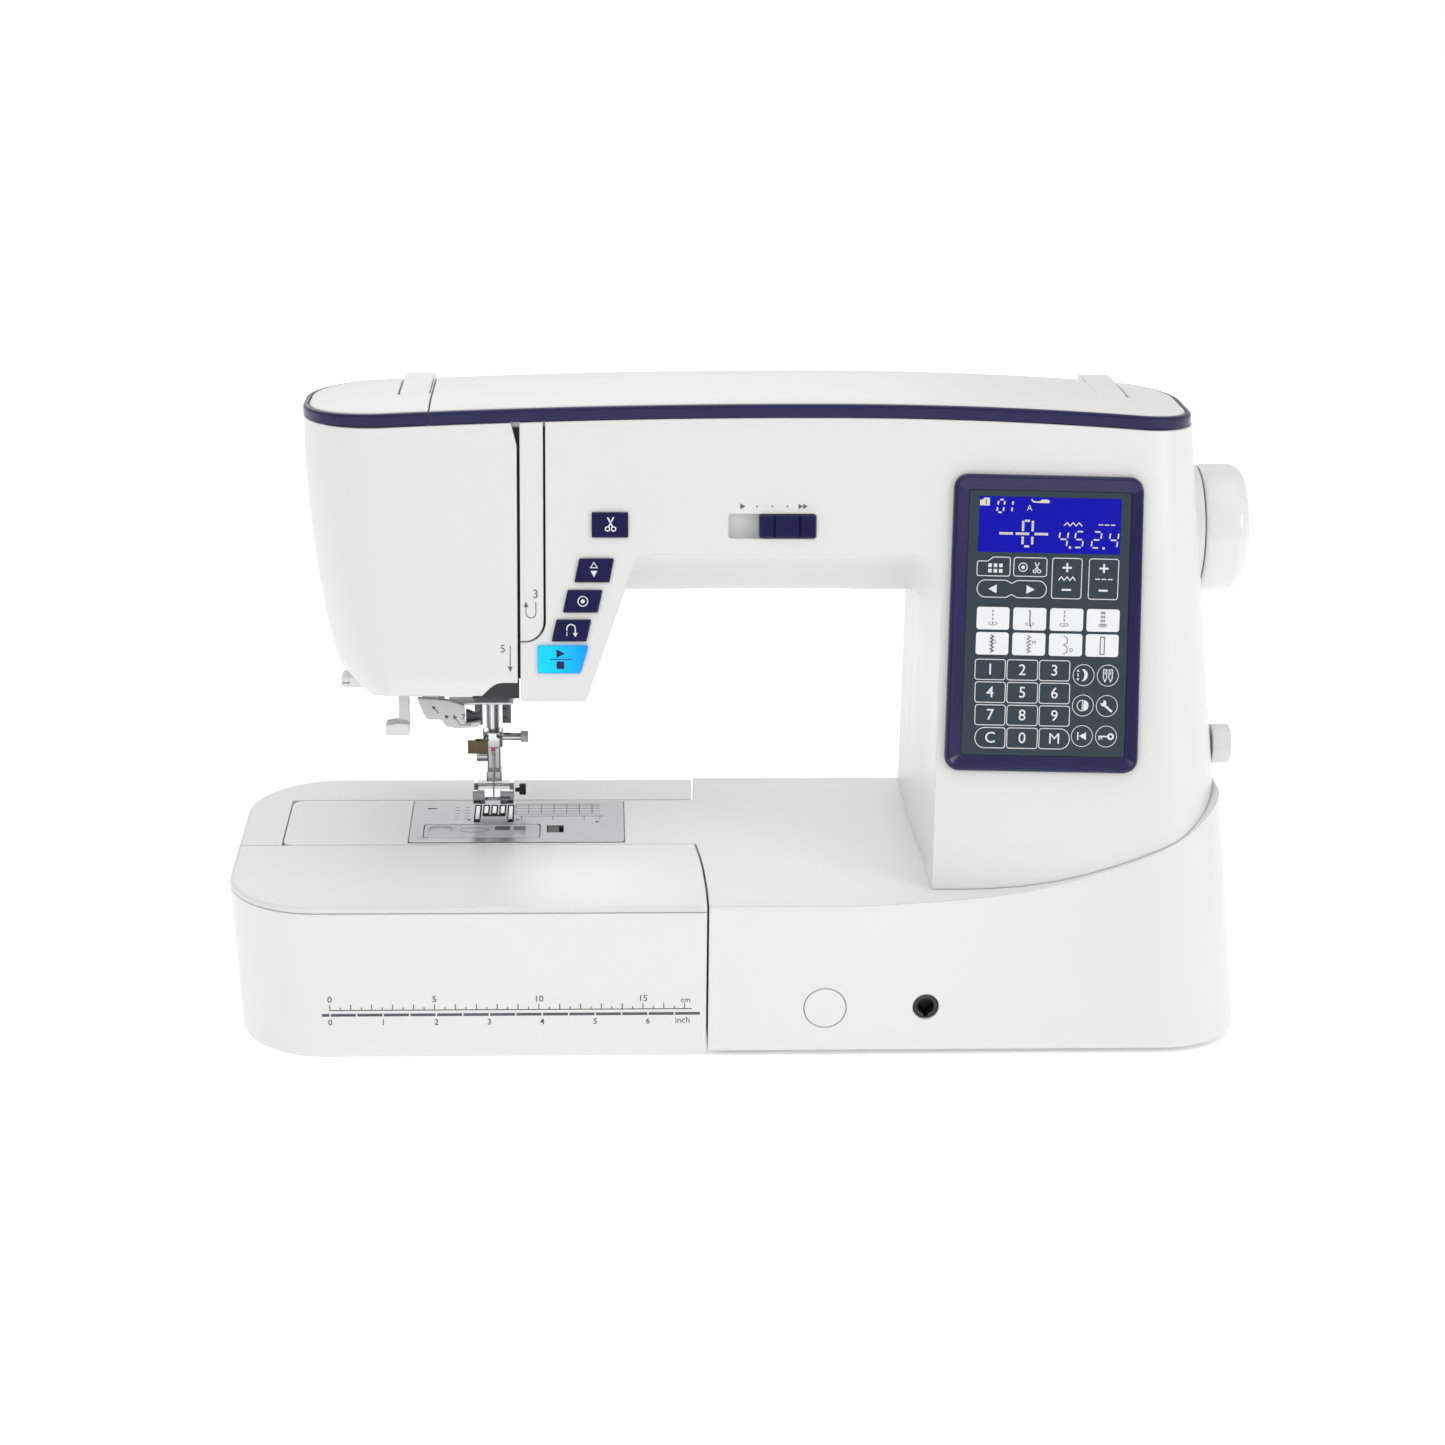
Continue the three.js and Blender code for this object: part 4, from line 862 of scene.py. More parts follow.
# ---- flat marks, lines and characters
def line(points, width, at, w0, w1, closed=False):
    """A raised line of some width through flat points."""
    points = [Vector(p[:2]) for p in points]
    left, right = [], []
    count = len(points)
    for i, p in enumerate(points):
        came = (p - points[i - 1]).normalized() if closed or i else None
        goes = (points[(i + 1) % count] - p).normalized() if closed or i < count - 1 else came
        came = came or goes
        middle = (came + goes).normalized()
        side = Vector((-middle.y, middle.x))
        reach = width / 2 / max(side.dot(Vector((-came.y, came.x))), 0.4)
        left.append(p + side * reach)
        right.append(p - side * reach)
    if closed:
        rings = [(left, w0), (left, w1), (right, w1), (right, w0)]
        return loft("line", [[at(*p, w) for p in ring] for ring, w in rings], closed=True)
    return loft("line", [[at(*p, w) for p in left + right[::-1]] for w in (w0, w1)])


def flat(points, at, w0, w1):
    return loft("flat", [[at(p[0], p[1], w) for p in points] for w in (w0, w1)])


def disc(x, y, r, count=32):
    return [(x + r * math.cos(2 * math.pi * i / count),
        y + r * math.sin(2 * math.pi * i / count)) for i in range(count)]


def characters(text, height, u, v, at, w0, w1, lean=0.0, heavy=0.0):
    """Flat characters of some height, centred on (u, v)."""
    curve = bpy.data.curves.new("characters", "FONT")
    curve.body = text
    curve.size = height / 0.72
    curve.align_x = "CENTER"
    curve.align_y = "CENTER"
    curve.resolution_u = 3
    curve.shear = lean
    curve.offset = heavy
    curve.extrude = (w1 - w0) / 2
    source = bpy.data.objects.new("characters", curve)
    scene.collection.objects.link(source)
    mesh = bpy.data.meshes.new_from_object(source.evaluated_get(bpy.context.evaluated_depsgraph_get()))
    bpy.data.objects.remove(source)
    middle = (min(p.co.y for p in mesh.vertices) + max(p.co.y for p in mesh.vertices)) / 2
    verts = [at(u + p.co.x, v + p.co.y - middle, (w0 + w1) / 2 + p.co.z) for p in mesh.vertices]
    return make("characters", verts, [tuple(p.vertices) for p in mesh.polygons])


def on_front(x, z, w=0.0):
    return (x, -w, z)


def on_plate(x, y, w=0.0):
    return (x, y, PLATE["top"] + w)


# ---- key panel
bezel = loft("bezel", [bezel_ring(*ring) for ring in (
    (0.0, 0.25), (0.0, 1.2), (0.03, 2.4), (0.12, 3.2), (0.20, 3.4), (0.27, 3.3), (0.34, 2.9), (0.93, 1.3), (1.0, 1.1),
    (1.0, -1.6), (0.64, -1.6), (0.64, 0.25))], closed=True)
piece("panel_bezel", bezel, BEZEL, "machine", ["control_bezel"], sharp=24)
film = loft("film", [bezel_ring(1.02, w) for w in (-1.6, 0.75)])
piece("key_film", film, FILM, "machine", ["keypad_panel"])
window = flat(rectangle(-34.8, 34.4, 33.3, 60.9, 0.6), on_panel, 0.7, 0.85)
piece("display_window", window, DISPLAY, "machine")

SHOW = (0.8, 0.93)


def dot(x, y, wide=1.05, high=1.05):
    return flat(rectangle(x - wide / 2, y - high / 2, x + wide / 2, y + high / 2), on_panel, *SHOW)


def segments(digit, x, y, wide, high, thick=0.68):
    """A seven-segment digit whose lower left corner is (x, y), leaning a little."""
    lean = 0.12
    ends = {"a": (0, 1, 1, 1), "b": (1, 1, 1, 0.5), "c": (1, 0.5, 1, 0), "d": (0, 0, 1, 0), "e": (0, 0.5, 0, 0),
        "f": (0, 1, 0, 0.5), "g": (0, 0.5, 1, 0.5)}
    lit = {"0": "abcdef", "1": "bc", "2": "abged", "4": "fgbc", "5": "afgcd"}[digit]
    made = []
    for name in lit:
        x0, y0, x1, y1 = ends[name]
        a = Vector((x + x0 * wide + y0 * high * lean, y + y0 * high))
        b = Vector((x + x1 * wide + y1 * high * lean, y + y1 * high))
        step = (b - a).normalized() * 0.65
        made.append(line([a + step, b - step], thick, on_panel, *SHOW))
    return made


def zigzag(x0, x1, y, high, count):
    return [(x0 + (x1 - x0) * i / count, y + (high / 2 if i % 2 else -high / 2)) for i in range(count + 1)]


shown = segments("0", -26.4, 53.4, 3.0, 6.0, 0.75) + segments("1", -22.4, 53.4, 3.0, 6.0, 0.75)
shown += segments("4", 3.4, 37.4, 4.0, 7.6) + segments("5", 11.0, 37.4, 4.0, 7.6)
shown += segments("2", 19.4, 37.4, 4.0, 7.6) + segments("4", 27.6, 37.4, 4.0, 7.6)
shown += [dot(9.2, 37.3), dot(25.4, 37.3)]
shown.append(line(zigzag(6.0, 14.6, 48.4, 1.5, 6), 0.5, on_panel, *SHOW))
shown += [line([(x, 48.4), (x + 2.2, 48.4)], 0.5, on_panel, *SHOW) for x in (22.6, 25.5, 28.4)]
shown += [dot(x, 43.4, 0.95, 1.2) for x in [-24.4 + 1.1 * i for i in range(6)] + [-16.6 + 1.1 * i for i in range(6)]]
shown += [dot(x, 43.4, 0.95, 1.2) for x in [-7.5 + 1.1 * i for i in range(6)]]
shown += [dot(x, y, 1.1, 1.1) for x in (-13.6,
    -9.0) for y in [39.0 + 1.25 * i for i in range(9)] if abs(y - 43.4) > 0.8]
shown += [dot(x, y, 1.1, 1.0) for x in (-12.2, -11.0) for y in (49.6, 37.4)]
shown.append(flat([(-35.0 + 0.4, 56.5), (-29.9, 56.5), (-29.9, 60.2), (-32.6, 60.2), (-33.4, 59.2), (-34.6, 59.2)],
    on_panel, *SHOW))
shown.append(characters("A", 2.8, -10.8, 55.8, on_panel, *SHOW))
shown.append(flat([(-10.2, 59.7), (-9.2, 58.4), (-5.6, 58.2), (-1.6, 58.2), (-1.2, 59.0), (-2.0, 59.9), (-5.0, 59.8),
    (-6.2, 58.9), (-8.8, 59.0), (-9.8, 60.1)], on_panel, *SHOW))
piece("display_figures", gather(shown), SEGMENT, "machine")
tab = characters("1", 2.4, -31.6, 58.2, on_panel, 0.9, 1.0)
piece("display_tab_figure", tab, DISPLAY, "machine")

PRINT = (0.7, 0.83)


def outline_key(x0, y0, x1, y1, radii=(1.2, 1.2, 1.2, 1.2)):
    corners = [(x0, y0, radii[0]), (x1, y0, radii[1]), (x1, y1, radii[2]), (x0, y1, radii[3])]
    return line(rounded(corners, 8), 0.38, on_panel, *PRINT, closed=True)


def lit(points):
    return flat(points, on_panel, *PRINT)


def drawn(points, width=0.5, closed=False):
    return line(points, width, on_panel, *PRINT, closed=closed)


marks = []
rows = [(-26.8, -17.1), (-37.8, -28.0), (-48.7, -39.0), (-59.8, -50.0)]
columns = [(-34.2, -19.7), (-18.8, -4.1), (-3.2, 11.4)]
for r_index, (y0, y1) in enumerate(rows):
    for c_index, (x0, x1) in enumerate(columns):
        label = ["123", "456", "789", "C0M"][r_index][c_index]
        shift = 0.35 * r_index
        radii = (1.2, 1.2, 1.2, 1.2)
        if label == "C":
            radii = (4.6, 1.2, 1.2, 4.6)
        if label == "M":
            radii = (1.2, 4.6, 4.6, 1.2)
        marks.append(outline_key(x0 + shift, y0, x1 + shift, y1, radii))
        marks.append(characters(label, 5.4, (x0 + x1) / 2 + shift, (y0 + y1) / 2 + 0.2, on_panel, *PRINT,
            heavy=0.0 if label == "M" else 0.03))
ROUND = [(18.2, -23.8), (29.9, -23.8), (18.4, -38.5), (30.0, -38.5), (18.5, -53.3), (30.2, -53.3)]
marks += [line(disc(x, y, 5.1, 48), 0.3, on_panel, *PRINT, closed=True) for x, y in ROUND]
marks.append(drawn(rounded([(-34.9, 23, 1.0), (-19.1, 23, 1.0), (-19.1, 32, 1.0), (-27.4, 32, 0.6), (-29.8, 30, 0.6),
    (-34.9, 30, 1.0)], 6), 0.38, True))
marks.append(outline_key(-17.3, 23.1, -1.5, 32.0))
marks.append(drawn(rounded([(-34.6, 12.8, 4.0), (-20.6, 12.8, 1.0), (-18.0, 14.3, 1.0), (-15.4, 12.8, 1.0),
    (-1.3, 12.8, 4.0),
    (-1.3, 21.0, 4.0), (-15.4, 21.0, 1.0), (-18.0, 19.5, 1.0), (-20.6, 21.0, 1.0), (-34.6, 21.0, 4.0)],
    8), 0.38, True))
marks.append(outline_key(1.2, 12.8, 15.4, 32.1))
marks.append(outline_key(18.9, 12.8, 33.0, 32.1))
marks += [lit([(-29.2, 16.8), (-25.2, 14.7), (-25.2, 18.9)]), lit([(-6.9, 16.8), (-10.9, 18.9), (-10.9, 14.7)])]
for x in (8.3, 26.0):
    marks += [drawn([(x - 2.2, 27.6), (x + 2.2, 27.6)], 0.9), drawn([(x, 25.5), (x, 27.1)], 0.9),
        drawn([(x, 28.1), (x, 29.8)], 0.9), drawn([(x - 2.2, 17.0), (x + 2.2, 17.0)], 0.9)]
marks.append(drawn(zigzag(4.3, 12.5, 22.4, 1.7, 6), 0.5))
marks += [drawn([(x, 22.4), (x + 2.3, 22.4)], 0.5) for x in (22.0, 25.0, 28.0)]
# The stitch group key: six small squares. The trimming key: a ring with a dot, and scissors.
marks += [lit(rectangle(x, y, x + 1.7, y + 1.7)) for x in (-29.6, -27.0, -24.4) for y in (24.6, 27.2)]
marks += [line(disc(-12.9, 27.4, 2.0), 0.45, on_panel, *PRINT, closed=True), lit(disc(-12.9, 27.4, 0.9, 20))]


def scissors(x, y, size, at, w0, w1):
    """Scissors opening upwards."""
    def p(a, b):
        return (x + a * size, y + b * size)
    return [line([p(-0.42, 1.0), p(0.26, -0.3)], 0.2 * size, at, w0, w1),
        line([p(0.42, 1.0), p(0.09, 0.37)], 0.2 * size, at, w0, w1),
        line([p(-0.06, 0.08), p(-0.26, -0.3)], 0.2 * size, at, w0, w1),
        line([(a * size * 0.9 + x - 0.42 * size, b * size * 0.9 + y - 0.62 * size) for a, b in disc(0, 0, 0.33, 16)],
            0.17 * size, at, w0, w1, True),
        line([(a * size * 0.9 + x + 0.42 * size, b * size * 0.9 + y - 0.62 * size) for a, b in disc(0, 0, 0.33, 16)],
            0.17 * size, at, w0, w1, True)]


marks += scissors(-6.2, 27.2, 2.6, on_panel, *PRINT)
# Round keys: reverse arc, twin needles, contrast, wrench, back to start, key.
x, y = ROUND[0]
marks.append(lit([(x - 0.6 + 2.6 * math.cos(a),
    y + 3.0 * math.sin(a)) for a in [math.radians(80 - 16 * i) for i in range(11)]]
    + [(x - 1.8 + 2.2 * math.cos(a), y + 3.0 * math.sin(a)) for a in
        [math.radians(-66 + 16.5 * i) for i in range(9)]]))
marks += [lit([(x - 3.4, y + 1.6), (x - 2.0, y + 1.6), (x - 2.7, y + 2.8)]),
    lit([(x - 3.4, y - 1.6), (x - 2.7, y - 2.8),
        (x - 2.0, y - 1.6)]),
    drawn([(x - 2.7, y - 0.9), (x - 2.7, y + 0.9)], 0.5)]
x, y = ROUND[1]
for side in (-1.35, 1.35):
    marks.append(drawn([(x + side - 0.8, y + 2.8), (x + side - 0.8, y - 1.2), (x + side, y - 3.0),
        (x + side + 0.8, y - 1.2), (x + side + 0.8, y + 2.8)], 0.45, True))
    marks.append(drawn([(x + side, y + 2.0), (x + side, y + 0.4)], 0.35))
x, y = ROUND[2]
half = [(x + 0.25 + 2.5 * math.cos(a), y + 2.6 * math.sin(a)) for a in [math.radians(90 - 15 * i) for i in range(13)]]
marks.append(lit(half))
marks.append(drawn([(x - 0.25 - 2.5 * math.cos(a), y + 2.6 * math.sin(a)) for a in [math.radians(90 - 15 * i)
    for i in range(13)]], 0.4, True))
x, y = ROUND[3]
marks.append(lit([(x - 3.1, y + 1.5), (x - 2.2, y + 1.3), (x - 1.6, y + 1.9), (x - 1.8, y + 2.9), (x - 0.6, y + 2.4),
    (x - 0.2, y + 1.2), (x - 0.5, y + 0.5), (x + 2.9, y - 2.4), (x + 2.1, y - 3.2), (x - 1.2, y - 0.3),
    (x - 2.2, y - 0.2), (x - 3.0, y + 0.5)]))
x, y = ROUND[4]
marks += [lit([(x - 1.4, y), (x + 2.0, y + 1.9), (x + 2.0, y - 1.9)]),
    drawn([(x - 2.0, y - 1.9), (x - 2.0, y + 1.9)], 0.6)]
x, y = ROUND[5]
marks += [line(disc(x + 2.2, y, 1.2, 20), 0.95, on_panel, *PRINT, closed=True),
    drawn([(x + 0.5, y), (x - 3.7, y)], 0.75),
    drawn([(x - 3.3, y - 0.4), (x - 3.3, y - 1.6)], 0.6), drawn([(x - 2.1, y - 0.4), (x - 2.1, y - 1.4)], 0.6)]
piece("panel_marks", gather(marks), PRINT_LIGHT, "machine")

keys = []
inks = []
INK = (1.0, 1.1)
for (y0, y1) in ((-2.7, 8.1), (-14.8, -4.0)):
    for (x0, x1) in ((-34.3, -18.6), (-16.8, -0.9), (0.9, 16.9), (18.6, 34.4)):
        keys.append(flat(rectangle(x0, y0, x1, y1, 1.3), on_panel, 0.7, 1.03))


def ink(points, width=0.4, closed=False):
    inks.append(line(points, width, on_panel, *INK, closed=closed))


for x, spread in ((-26.6, 0.0), (-8.8, 0.0), (7.8, 0.0), (26.4, 0.75)):
    for dx in ((0.0,) if not spread else (-spread, 0.0, spread)):
        for i in range(4):
            ink([(x + dx, 6.9 - 1.9 * i), (x + dx, 5.7 - 1.9 * i)], 0.5)
    inks.append(line([(x + 2.0 * math.cos(a), 0.3 + 0.8 * math.sin(a)) for a in
        [math.radians(120 + 30 * i) for i in range(11)]], 0.28, on_panel, *INK))
ink([(-9.2, 6.9), (-8.7, 6.0), (-8.7, 1.4), (-8.2, -1.6)], 0.55)
ink([(-26.6 + (0.9 if i % 2 else -0.9), -5.2 - 0.85 * i) for i in range(11)], 0.5)
ink([(-26.6, -5.4), (-26.6, -13.6)], 0.4)
ink([(-8.9 + (0.9 if i % 2 else -0.9), -5.2 - 0.85 * i) for i in range(11)], 0.4)
ink([(7.9, -5.2), (9.7, -6.2), (9.7, -8.4), (8.0, -9.5), (9.7, -10.6), (9.7, -12.9), (7.9, -13.8)], 0.4)
inks.append(line(disc(11.6, -11.8, 0.75, 14), 0.3, on_panel, *INK, closed=True))
inks.append(line(rectangle(25.6, -13.6, 27.6, -5.4), 0.5, on_panel, *INK, closed=True))
inks += [characters("L", 1.8, -24.6, -8.4, on_panel, *INK), characters("M", 1.8, -6.4, -8.6, on_panel, *INK)]
piece("stitch_keys", gather(keys), KEY_WHITE, "machine")
piece("stitch_marks", gather(inks), PRINT_GREY, "machine")

# ---- keys, slider and printing on the leaning face
for name in BUTTONS:
    steps = [(-4.4, 0.0), (0.55, 0.0), (0.85, 0.12), (1.05, 0.35), (1.15, 0.7)]
    if name.startswith("start"):
        key = face_prism(button_outline(name, 1.6, 0.0), steps)
        piece("key_" + name, key, LIT_KEY, name.replace("_button", "_key"), [name], sharp=40)
    else:
        key = face_prism(button_outline(name, 1.1, 0.0), steps)
        piece("key_" + name, key, NAVY, name.replace("_button", "_key"), [name], sharp=40)
FACE_INK = (1.1, 1.22)
symbols = {
    "thread_cutter_button": scissors(59.2, 176.4, 3.4, on_face, *FACE_INK),
    "needle_position_button": [line([(51.3, 158.4), (49.7, 155.9), (52.9, 155.9)], 0.4, on_face, *FACE_INK,
        closed=True),
        flat([(49.7, 154.4), (52.9, 154.4), (51.3, 151.4)], on_face, *FACE_INK)],
    "lock_stitch_button": [line(disc(46.0, 139.9, 2.3), 0.5, on_face, *FACE_INK, closed=True),
        flat(disc(46.0, 139.9, 1.0, 20), on_face, *FACE_INK)],
    "reverse_button": [line([(38.4, 125.9)] + [(40.4 + 2.0 * math.cos(a), 126.9 + 2.0 * math.sin(a)) for a in
        [math.radians(180 - 20 * i) for i in range(10)]] + [(42.4, 124.6)],
        0.55,
        on_face, *FACE_INK),
        flat([(41.2, 124.8), (43.6, 124.8), (42.4, 122.9)], on_face, *FACE_INK)]
    + [flat(disc(38.4, 124.8 - 1.0 * i, 0.32, 10), on_face, *FACE_INK) for i in range(2)],
}
for name, shapes in symbols.items():
    piece("symbol_" + name, gather(shapes), PRINT_LIGHT, name.replace("_button", "_key"))
go = gather([flat([(33.4, 117.0), (33.4, 112.9), (37.4, 114.95)], on_face, *FACE_INK),
    line([(30.4, 112.15), (40.6, 112.15)], 0.4, on_face, *FACE_INK),
    flat(rectangle(33.5, 107.6, 37.1, 111.2), on_face, *FACE_INK)])
piece("symbol_start_stop", go, PRINT_NAVY, "start_stop_key")

tray = cut(face_prism(lambda i: rectangle(113.6, 168.2, 158.6, 182.9, 1.0), [(-6.4, 0), (-2.95, 0)]),
    face_prism(lambda i: rectangle(115.0, 169.5, 157.2, 181.6, 1.2), [(-5.8, 0), (2, 0)]))
piece("slider_tray", tray, WHITE, "machine")
knob = face_prism(lambda i: rectangle(129.8 + i, 170.2 + i, 156.7 - i, 180.9 - i, max(1.0 - i, 0.2)),
    [(-5.4, 0), (0.9, 0), (1.5, 0.2), (1.8, 0.6)])
cut(knob, *[face_prism(lambda i, x=x: rectangle(x - 0.45 - i, 168, x + 0.45 + i, 183), [(0.9, -0.2), (2.2, 0.3)])
    for x in (137.0, 149.2)],
    face_prism(lambda i: [(142.6, 181.5), (143.0, 179.6), (143.4, 181.5)], [(1.3, 0), (2.2, 0)]))
piece("slider_knob", knob, NAVY, "slider", ["speed_slider"], sharp=40)

ON = (-0.15, 0.08)
prints = [flat([(120.8, 186.4), (120.8, 183.6), (123.2, 185.0)], on_face, *ON)]
prints += [flat(disc(x, 185.0, 0.42, 14), on_face, *ON) for x in (128.7, 136.0, 143.2)]
prints += [flat([(x, 186.3), (x, 183.7), (x + 2.2, 185.0)], on_face, *ON) for x in (148.4, 150.7)]
prints.append(characters("3", 4.2, 23.6, 143.4, on_face, *ON))
prints.append(line([(23.7, 139.6), (23.7, 134.4)] + [(21.35 + 2.35 * math.cos(a), 134.2 + 2.35 * math.sin(a)) for a in
    [math.radians(-18 * i) for i in range(11)]] + [(19.0, 137.2)],
    0.42, on_face, *ON))
prints.append(flat([(17.9, 137.0), (20.1, 137.0), (19.0, 139.8)], on_face, *ON))
prints.append(characters("5", 3.8, 7.9, 117.2, on_face, *ON))
prints += [line([(11.4, 118.6), (11.4, 108.4)], 0.42, on_face, *ON),
    flat([(10.3, 108.6), (11.4, 105.9), (12.5, 108.6)], on_face, *ON)]
piece("face_prints", gather(prints), PRINT_MID, "machine")

# A near-black sheet behind the thread channel: painted shade for the dark inside of the channel.
channel = face_prism(lambda i: [(12.6, 102.5), (16.6, 102.5), (16.6, 116), (30.0, 120), (30.0, 222), (11.0, 222),
    (12.6, 200)], [(-3.9, 0), (-3.05, 0)])
piece("thread_channel_shade", channel, CAVITY_SHADE, "machine")
scoop = face_prism(lambda i: rounded([(-7.5, 93.0), (15.6, 93.0), (15.6, 102.2), (4.0, 102.2, 7), (-4.5, 96.5, 2)],
    8), [(-4.4, 0), (-3.1, 0)])
piece("thread_scoop", scoop, CHARCOAL, "machine")

# ---- ruler on the front of the table
RULER_ZERO = -75.5
ruler = [line([(-75.7, 25.9), (98.0, 25.9)], 0.45, on_front, *ON)]
ruler += [line([(RULER_ZERO + 5 * i, 26.1), (RULER_ZERO + 5 * i, 28.9 if i % 2 == 0 else 27.4)], 0.45, on_front, *ON)
    for i in range(35)]
inch = [RULER_ZERO + 12.7 * i for i in range(15)]
edges = [-79.6] + inch + [98.0]
ruler += [flat(rectangle(a + 0.35, 22.7, b - 0.35, 24.1), on_front, *ON) for a,
    b in zip(edges, edges[1:]) if b - a > 1.5]
ruler += [characters(str(5 * i), 3.3, RULER_ZERO + 50 * i, 31.6, on_front, *ON, heavy=0.03) for i in range(4)]
ruler += [characters(str(i), 3.1, RULER_ZERO + 25.4 * i, 19.6, on_front, *ON, heavy=0.03) for i in range(7)]
ruler += [characters("cm", 2.9, 95.0, 30.2, on_front, *ON, heavy=0.01),
    characters("inch", 3.2, 93.6, 20.0, on_front, *ON, heavy=0.01)]
piece("front_ruler", gather(ruler), PRINT_BLUE, "table")

# ---- needle plate marks, the hook cover and its well
SCRIBED, STAMPED = (-0.12, 0.05), (-0.12, 0.06)
grooves = []
for x in [11, 17.5, 24, 30.5, 37, 43.5, 50]:
    grooves.append(line([(x, 121.5), (x, 135.5)], 0.32, on_plate, *SCRIBED))
for y in (121.5, 125.5, 129.5, 133.0, 135.5):
    grooves.append(line([(11, y), (54, y)], 0.32, on_plate, *SCRIBED))
grooves += [line([(x, 113.5), (x, 118.5)], 0.32, on_plate, *SCRIBED) for x in (14, 30, 46, 54)]
grooves.append(line([(12, 118.5), (56, 118.5)], 0.32, on_plate, *SCRIBED))
grooves += [line([(x, y), (x + 2.4, y)], 0.32, on_plate, *SCRIBED) for x in (-20, -15) for y in (115, 119, 123, 127,
    131)]
grooves += [line([(-37.5 + i * 1.6, 86.8), (-37.0 + i * 1.6, 90.6)], 0.25, on_plate, *SCRIBED) for i in range(4)]
grooves.append(flat(rectangle(-34.4, 129.0, -29.7, 130.4, 0.4), on_plate, *STAMPED))
grooves += [flat(disc(x, y, 0.9, 16), on_plate, *STAMPED) for x, y in ((-12.5, 113.5), (12.0, 113.5), (52.5, 110.5))]
piece("plate_engraving", gather(grooves), ENGRAVED, "machine")
cover_plate = cut(soft_box(-34.6, 23.6, 89.4, 107.2, 77.3, 79.35, 2.2, 0.3),
    soft_box(-32.2, -20.5, 91.0, 105.8, 78.5, 80.5, 4.5, 0.2))
piece("hook_cover_window", cover_plate, CLEAR_WHITE, "hook_cover", ["hook_cover"])
views = [flat(rectangle(x0, 99.4, x1, 104.4, 0.6), on_plate, 0.02, 0.12) for x0, x1 in ((1.0, 8.6), (10.6, 16.4))]
views += [line([(x * 7.2 - 9.4, 99.4 + y * 3.0) for x, y in disc(0, 0, 1.0, 28)], 0.35, on_plate, 0.02, 0.1, True)]
piece("hook_cover_views", gather(views), GUNMETAL, "hook_cover")
well = cut(soft_box(-36.5, 26.4, 87.4, 109.0, 70.8, 77.0, 2.5, 0.3),
    soft_box(-34.9, 24.8, 89.0, 107.5, 71.8, 78.5, 2.0, 0.2),
    rod("z", 17.6, 60, 80, (0, 101.7), 48), box(24.0, 40, 90, 112, 60, 90), box(-20, 20, 104, 130, 60, 90))
piece("hook_well", well, WHITE_SOFT, "machine")

# ---- needle bar, clamp, presser bar and foot
clamp = join(soft_box(-5.1, 5.1, 114.8, 124.6, 117.7, 126.2, 2.2, 0.8),
    rod("x", 2.0, 4.6, 14.2, (NEEDLE_Y, 122.3), 32, 0.3),
    box(-12.2, -1.9, 113.6, 116.4, 115.8, 122.3))
cut(clamp, rod("z", 1.35, 100, 124.9, (0, NEEDLE_Y), 24), rod("y", 1.3, 100, 118, (-3.3, 124.2), 24),
    rod("y", 1.3, 100, 118, (3.1, 124.2), 24))
piece("needle_clamp_body", clamp, CHROME, "needle_bar", ["needle_clamp"], sharp=30, bevel=0.2)


def knurled(screw, x0, x1, y, z, count):
    """Cuts fine grooves along X round a screw head about 6 mm across."""
    turns = [2 * math.pi * i / count for i in range(count)]
    return cut(screw, *[rod("x", 0.35, x0, x1, (y + 3.0 * math.cos(a), z + 3.0 * math.sin(a)), 10) for a in turns])


screw = knurled(rod("x", 2.9, 14.0, 17.9, (NEEDLE_Y, 122.3), 40, 0.4), 13, 19, NEEDLE_Y, 122.3, 18)
piece("needle_clamp_screw", screw, CHROME, "needle_bar")
block = soft_box(-12.6, -2.2, 112.4, 113.8, 115.5, 122.5, 0.6, 0.3)
piece("needle_thread_guide", block, BRONZE, "needle_bar")
band = turned("z", [(0, 114.6), (1.12, 114.6), (1.12, 117.2), (0, 117.2)], (0, NEEDLE_Y), 24)
needle = join(turned("z", [(0, 87.6), (0.12, 87.9), (0.42, 91), (0.42, 111.6), (0.6, 112.6), (1.0, 114.4),
    (1.0, 124.4), (0, 124.4)],
    (0, NEEDLE_Y), 20), turned("z", [(0, 117.3), (1.0, 117.3), (1.0, 124.3), (0, 124.3)], (0, NEEDLE_Y), 20))
piece("needle_body", needle, CHROME, "needle_bar", ["needle"])
piece("needle_colour_band", band, MAGENTA, "needle_bar")

bars = join(rod("z", 3.0, 112.6, 262, (0, 134.6), 32), box(-5, 5, 132.1, 138.6, 206, 214))
piece("presser_rod", bars, CHROME, "presser", ["presser_bar"])
holder = join(soft_box(-3.4, 3.4, 129.6, 137.6, 99.0, 112.4, 1.0, 0.4),
    soft_box(-3.9, 3.9, 126.4, 136.4, 95.2, 100.6, 0.8, 0.4),
    rod("x", 3.2, -9.0, -3.2, (133.6, 107), 28, 0.4))
piece("foot_holder_body", holder, CHROME, "presser", ["foot_holder"], bevel=0.2)
TOE = [(118.5, 86.8), (115.5, 87.1), (112.4, 88.4), (110.0, 90.4), (108.4, 92.8), (107.5, 95.6), (107.3, 97.4),
    (108.9, 97.4), (109.2, 95.8), (110.1, 93.4), (111.5, 91.6), (113.6, 90.0), (116.0, 89.0), (118.5, 88.7)]
sole = join(soft_box(-10.2, 10.2, 116.5, 133, 86.8, 88.7, 1.2, 0.4), box(-10.2, -8.0, 121.6, 131.4, 88, 96.4),
    box(8.0, 10.2, 121.6, 131.4, 88, 96.4), rod("x", 0.9, -10.2, 10.2, (127, 93.4), 20),
    along("x", TOE, -10.2, -4.2), along("x", TOE, 3.6, 10.2))
cut(sole, soft_box(-4.6, 4.6, 112, NEEDLE_Y + 2.4, 80, 96, 1.4))
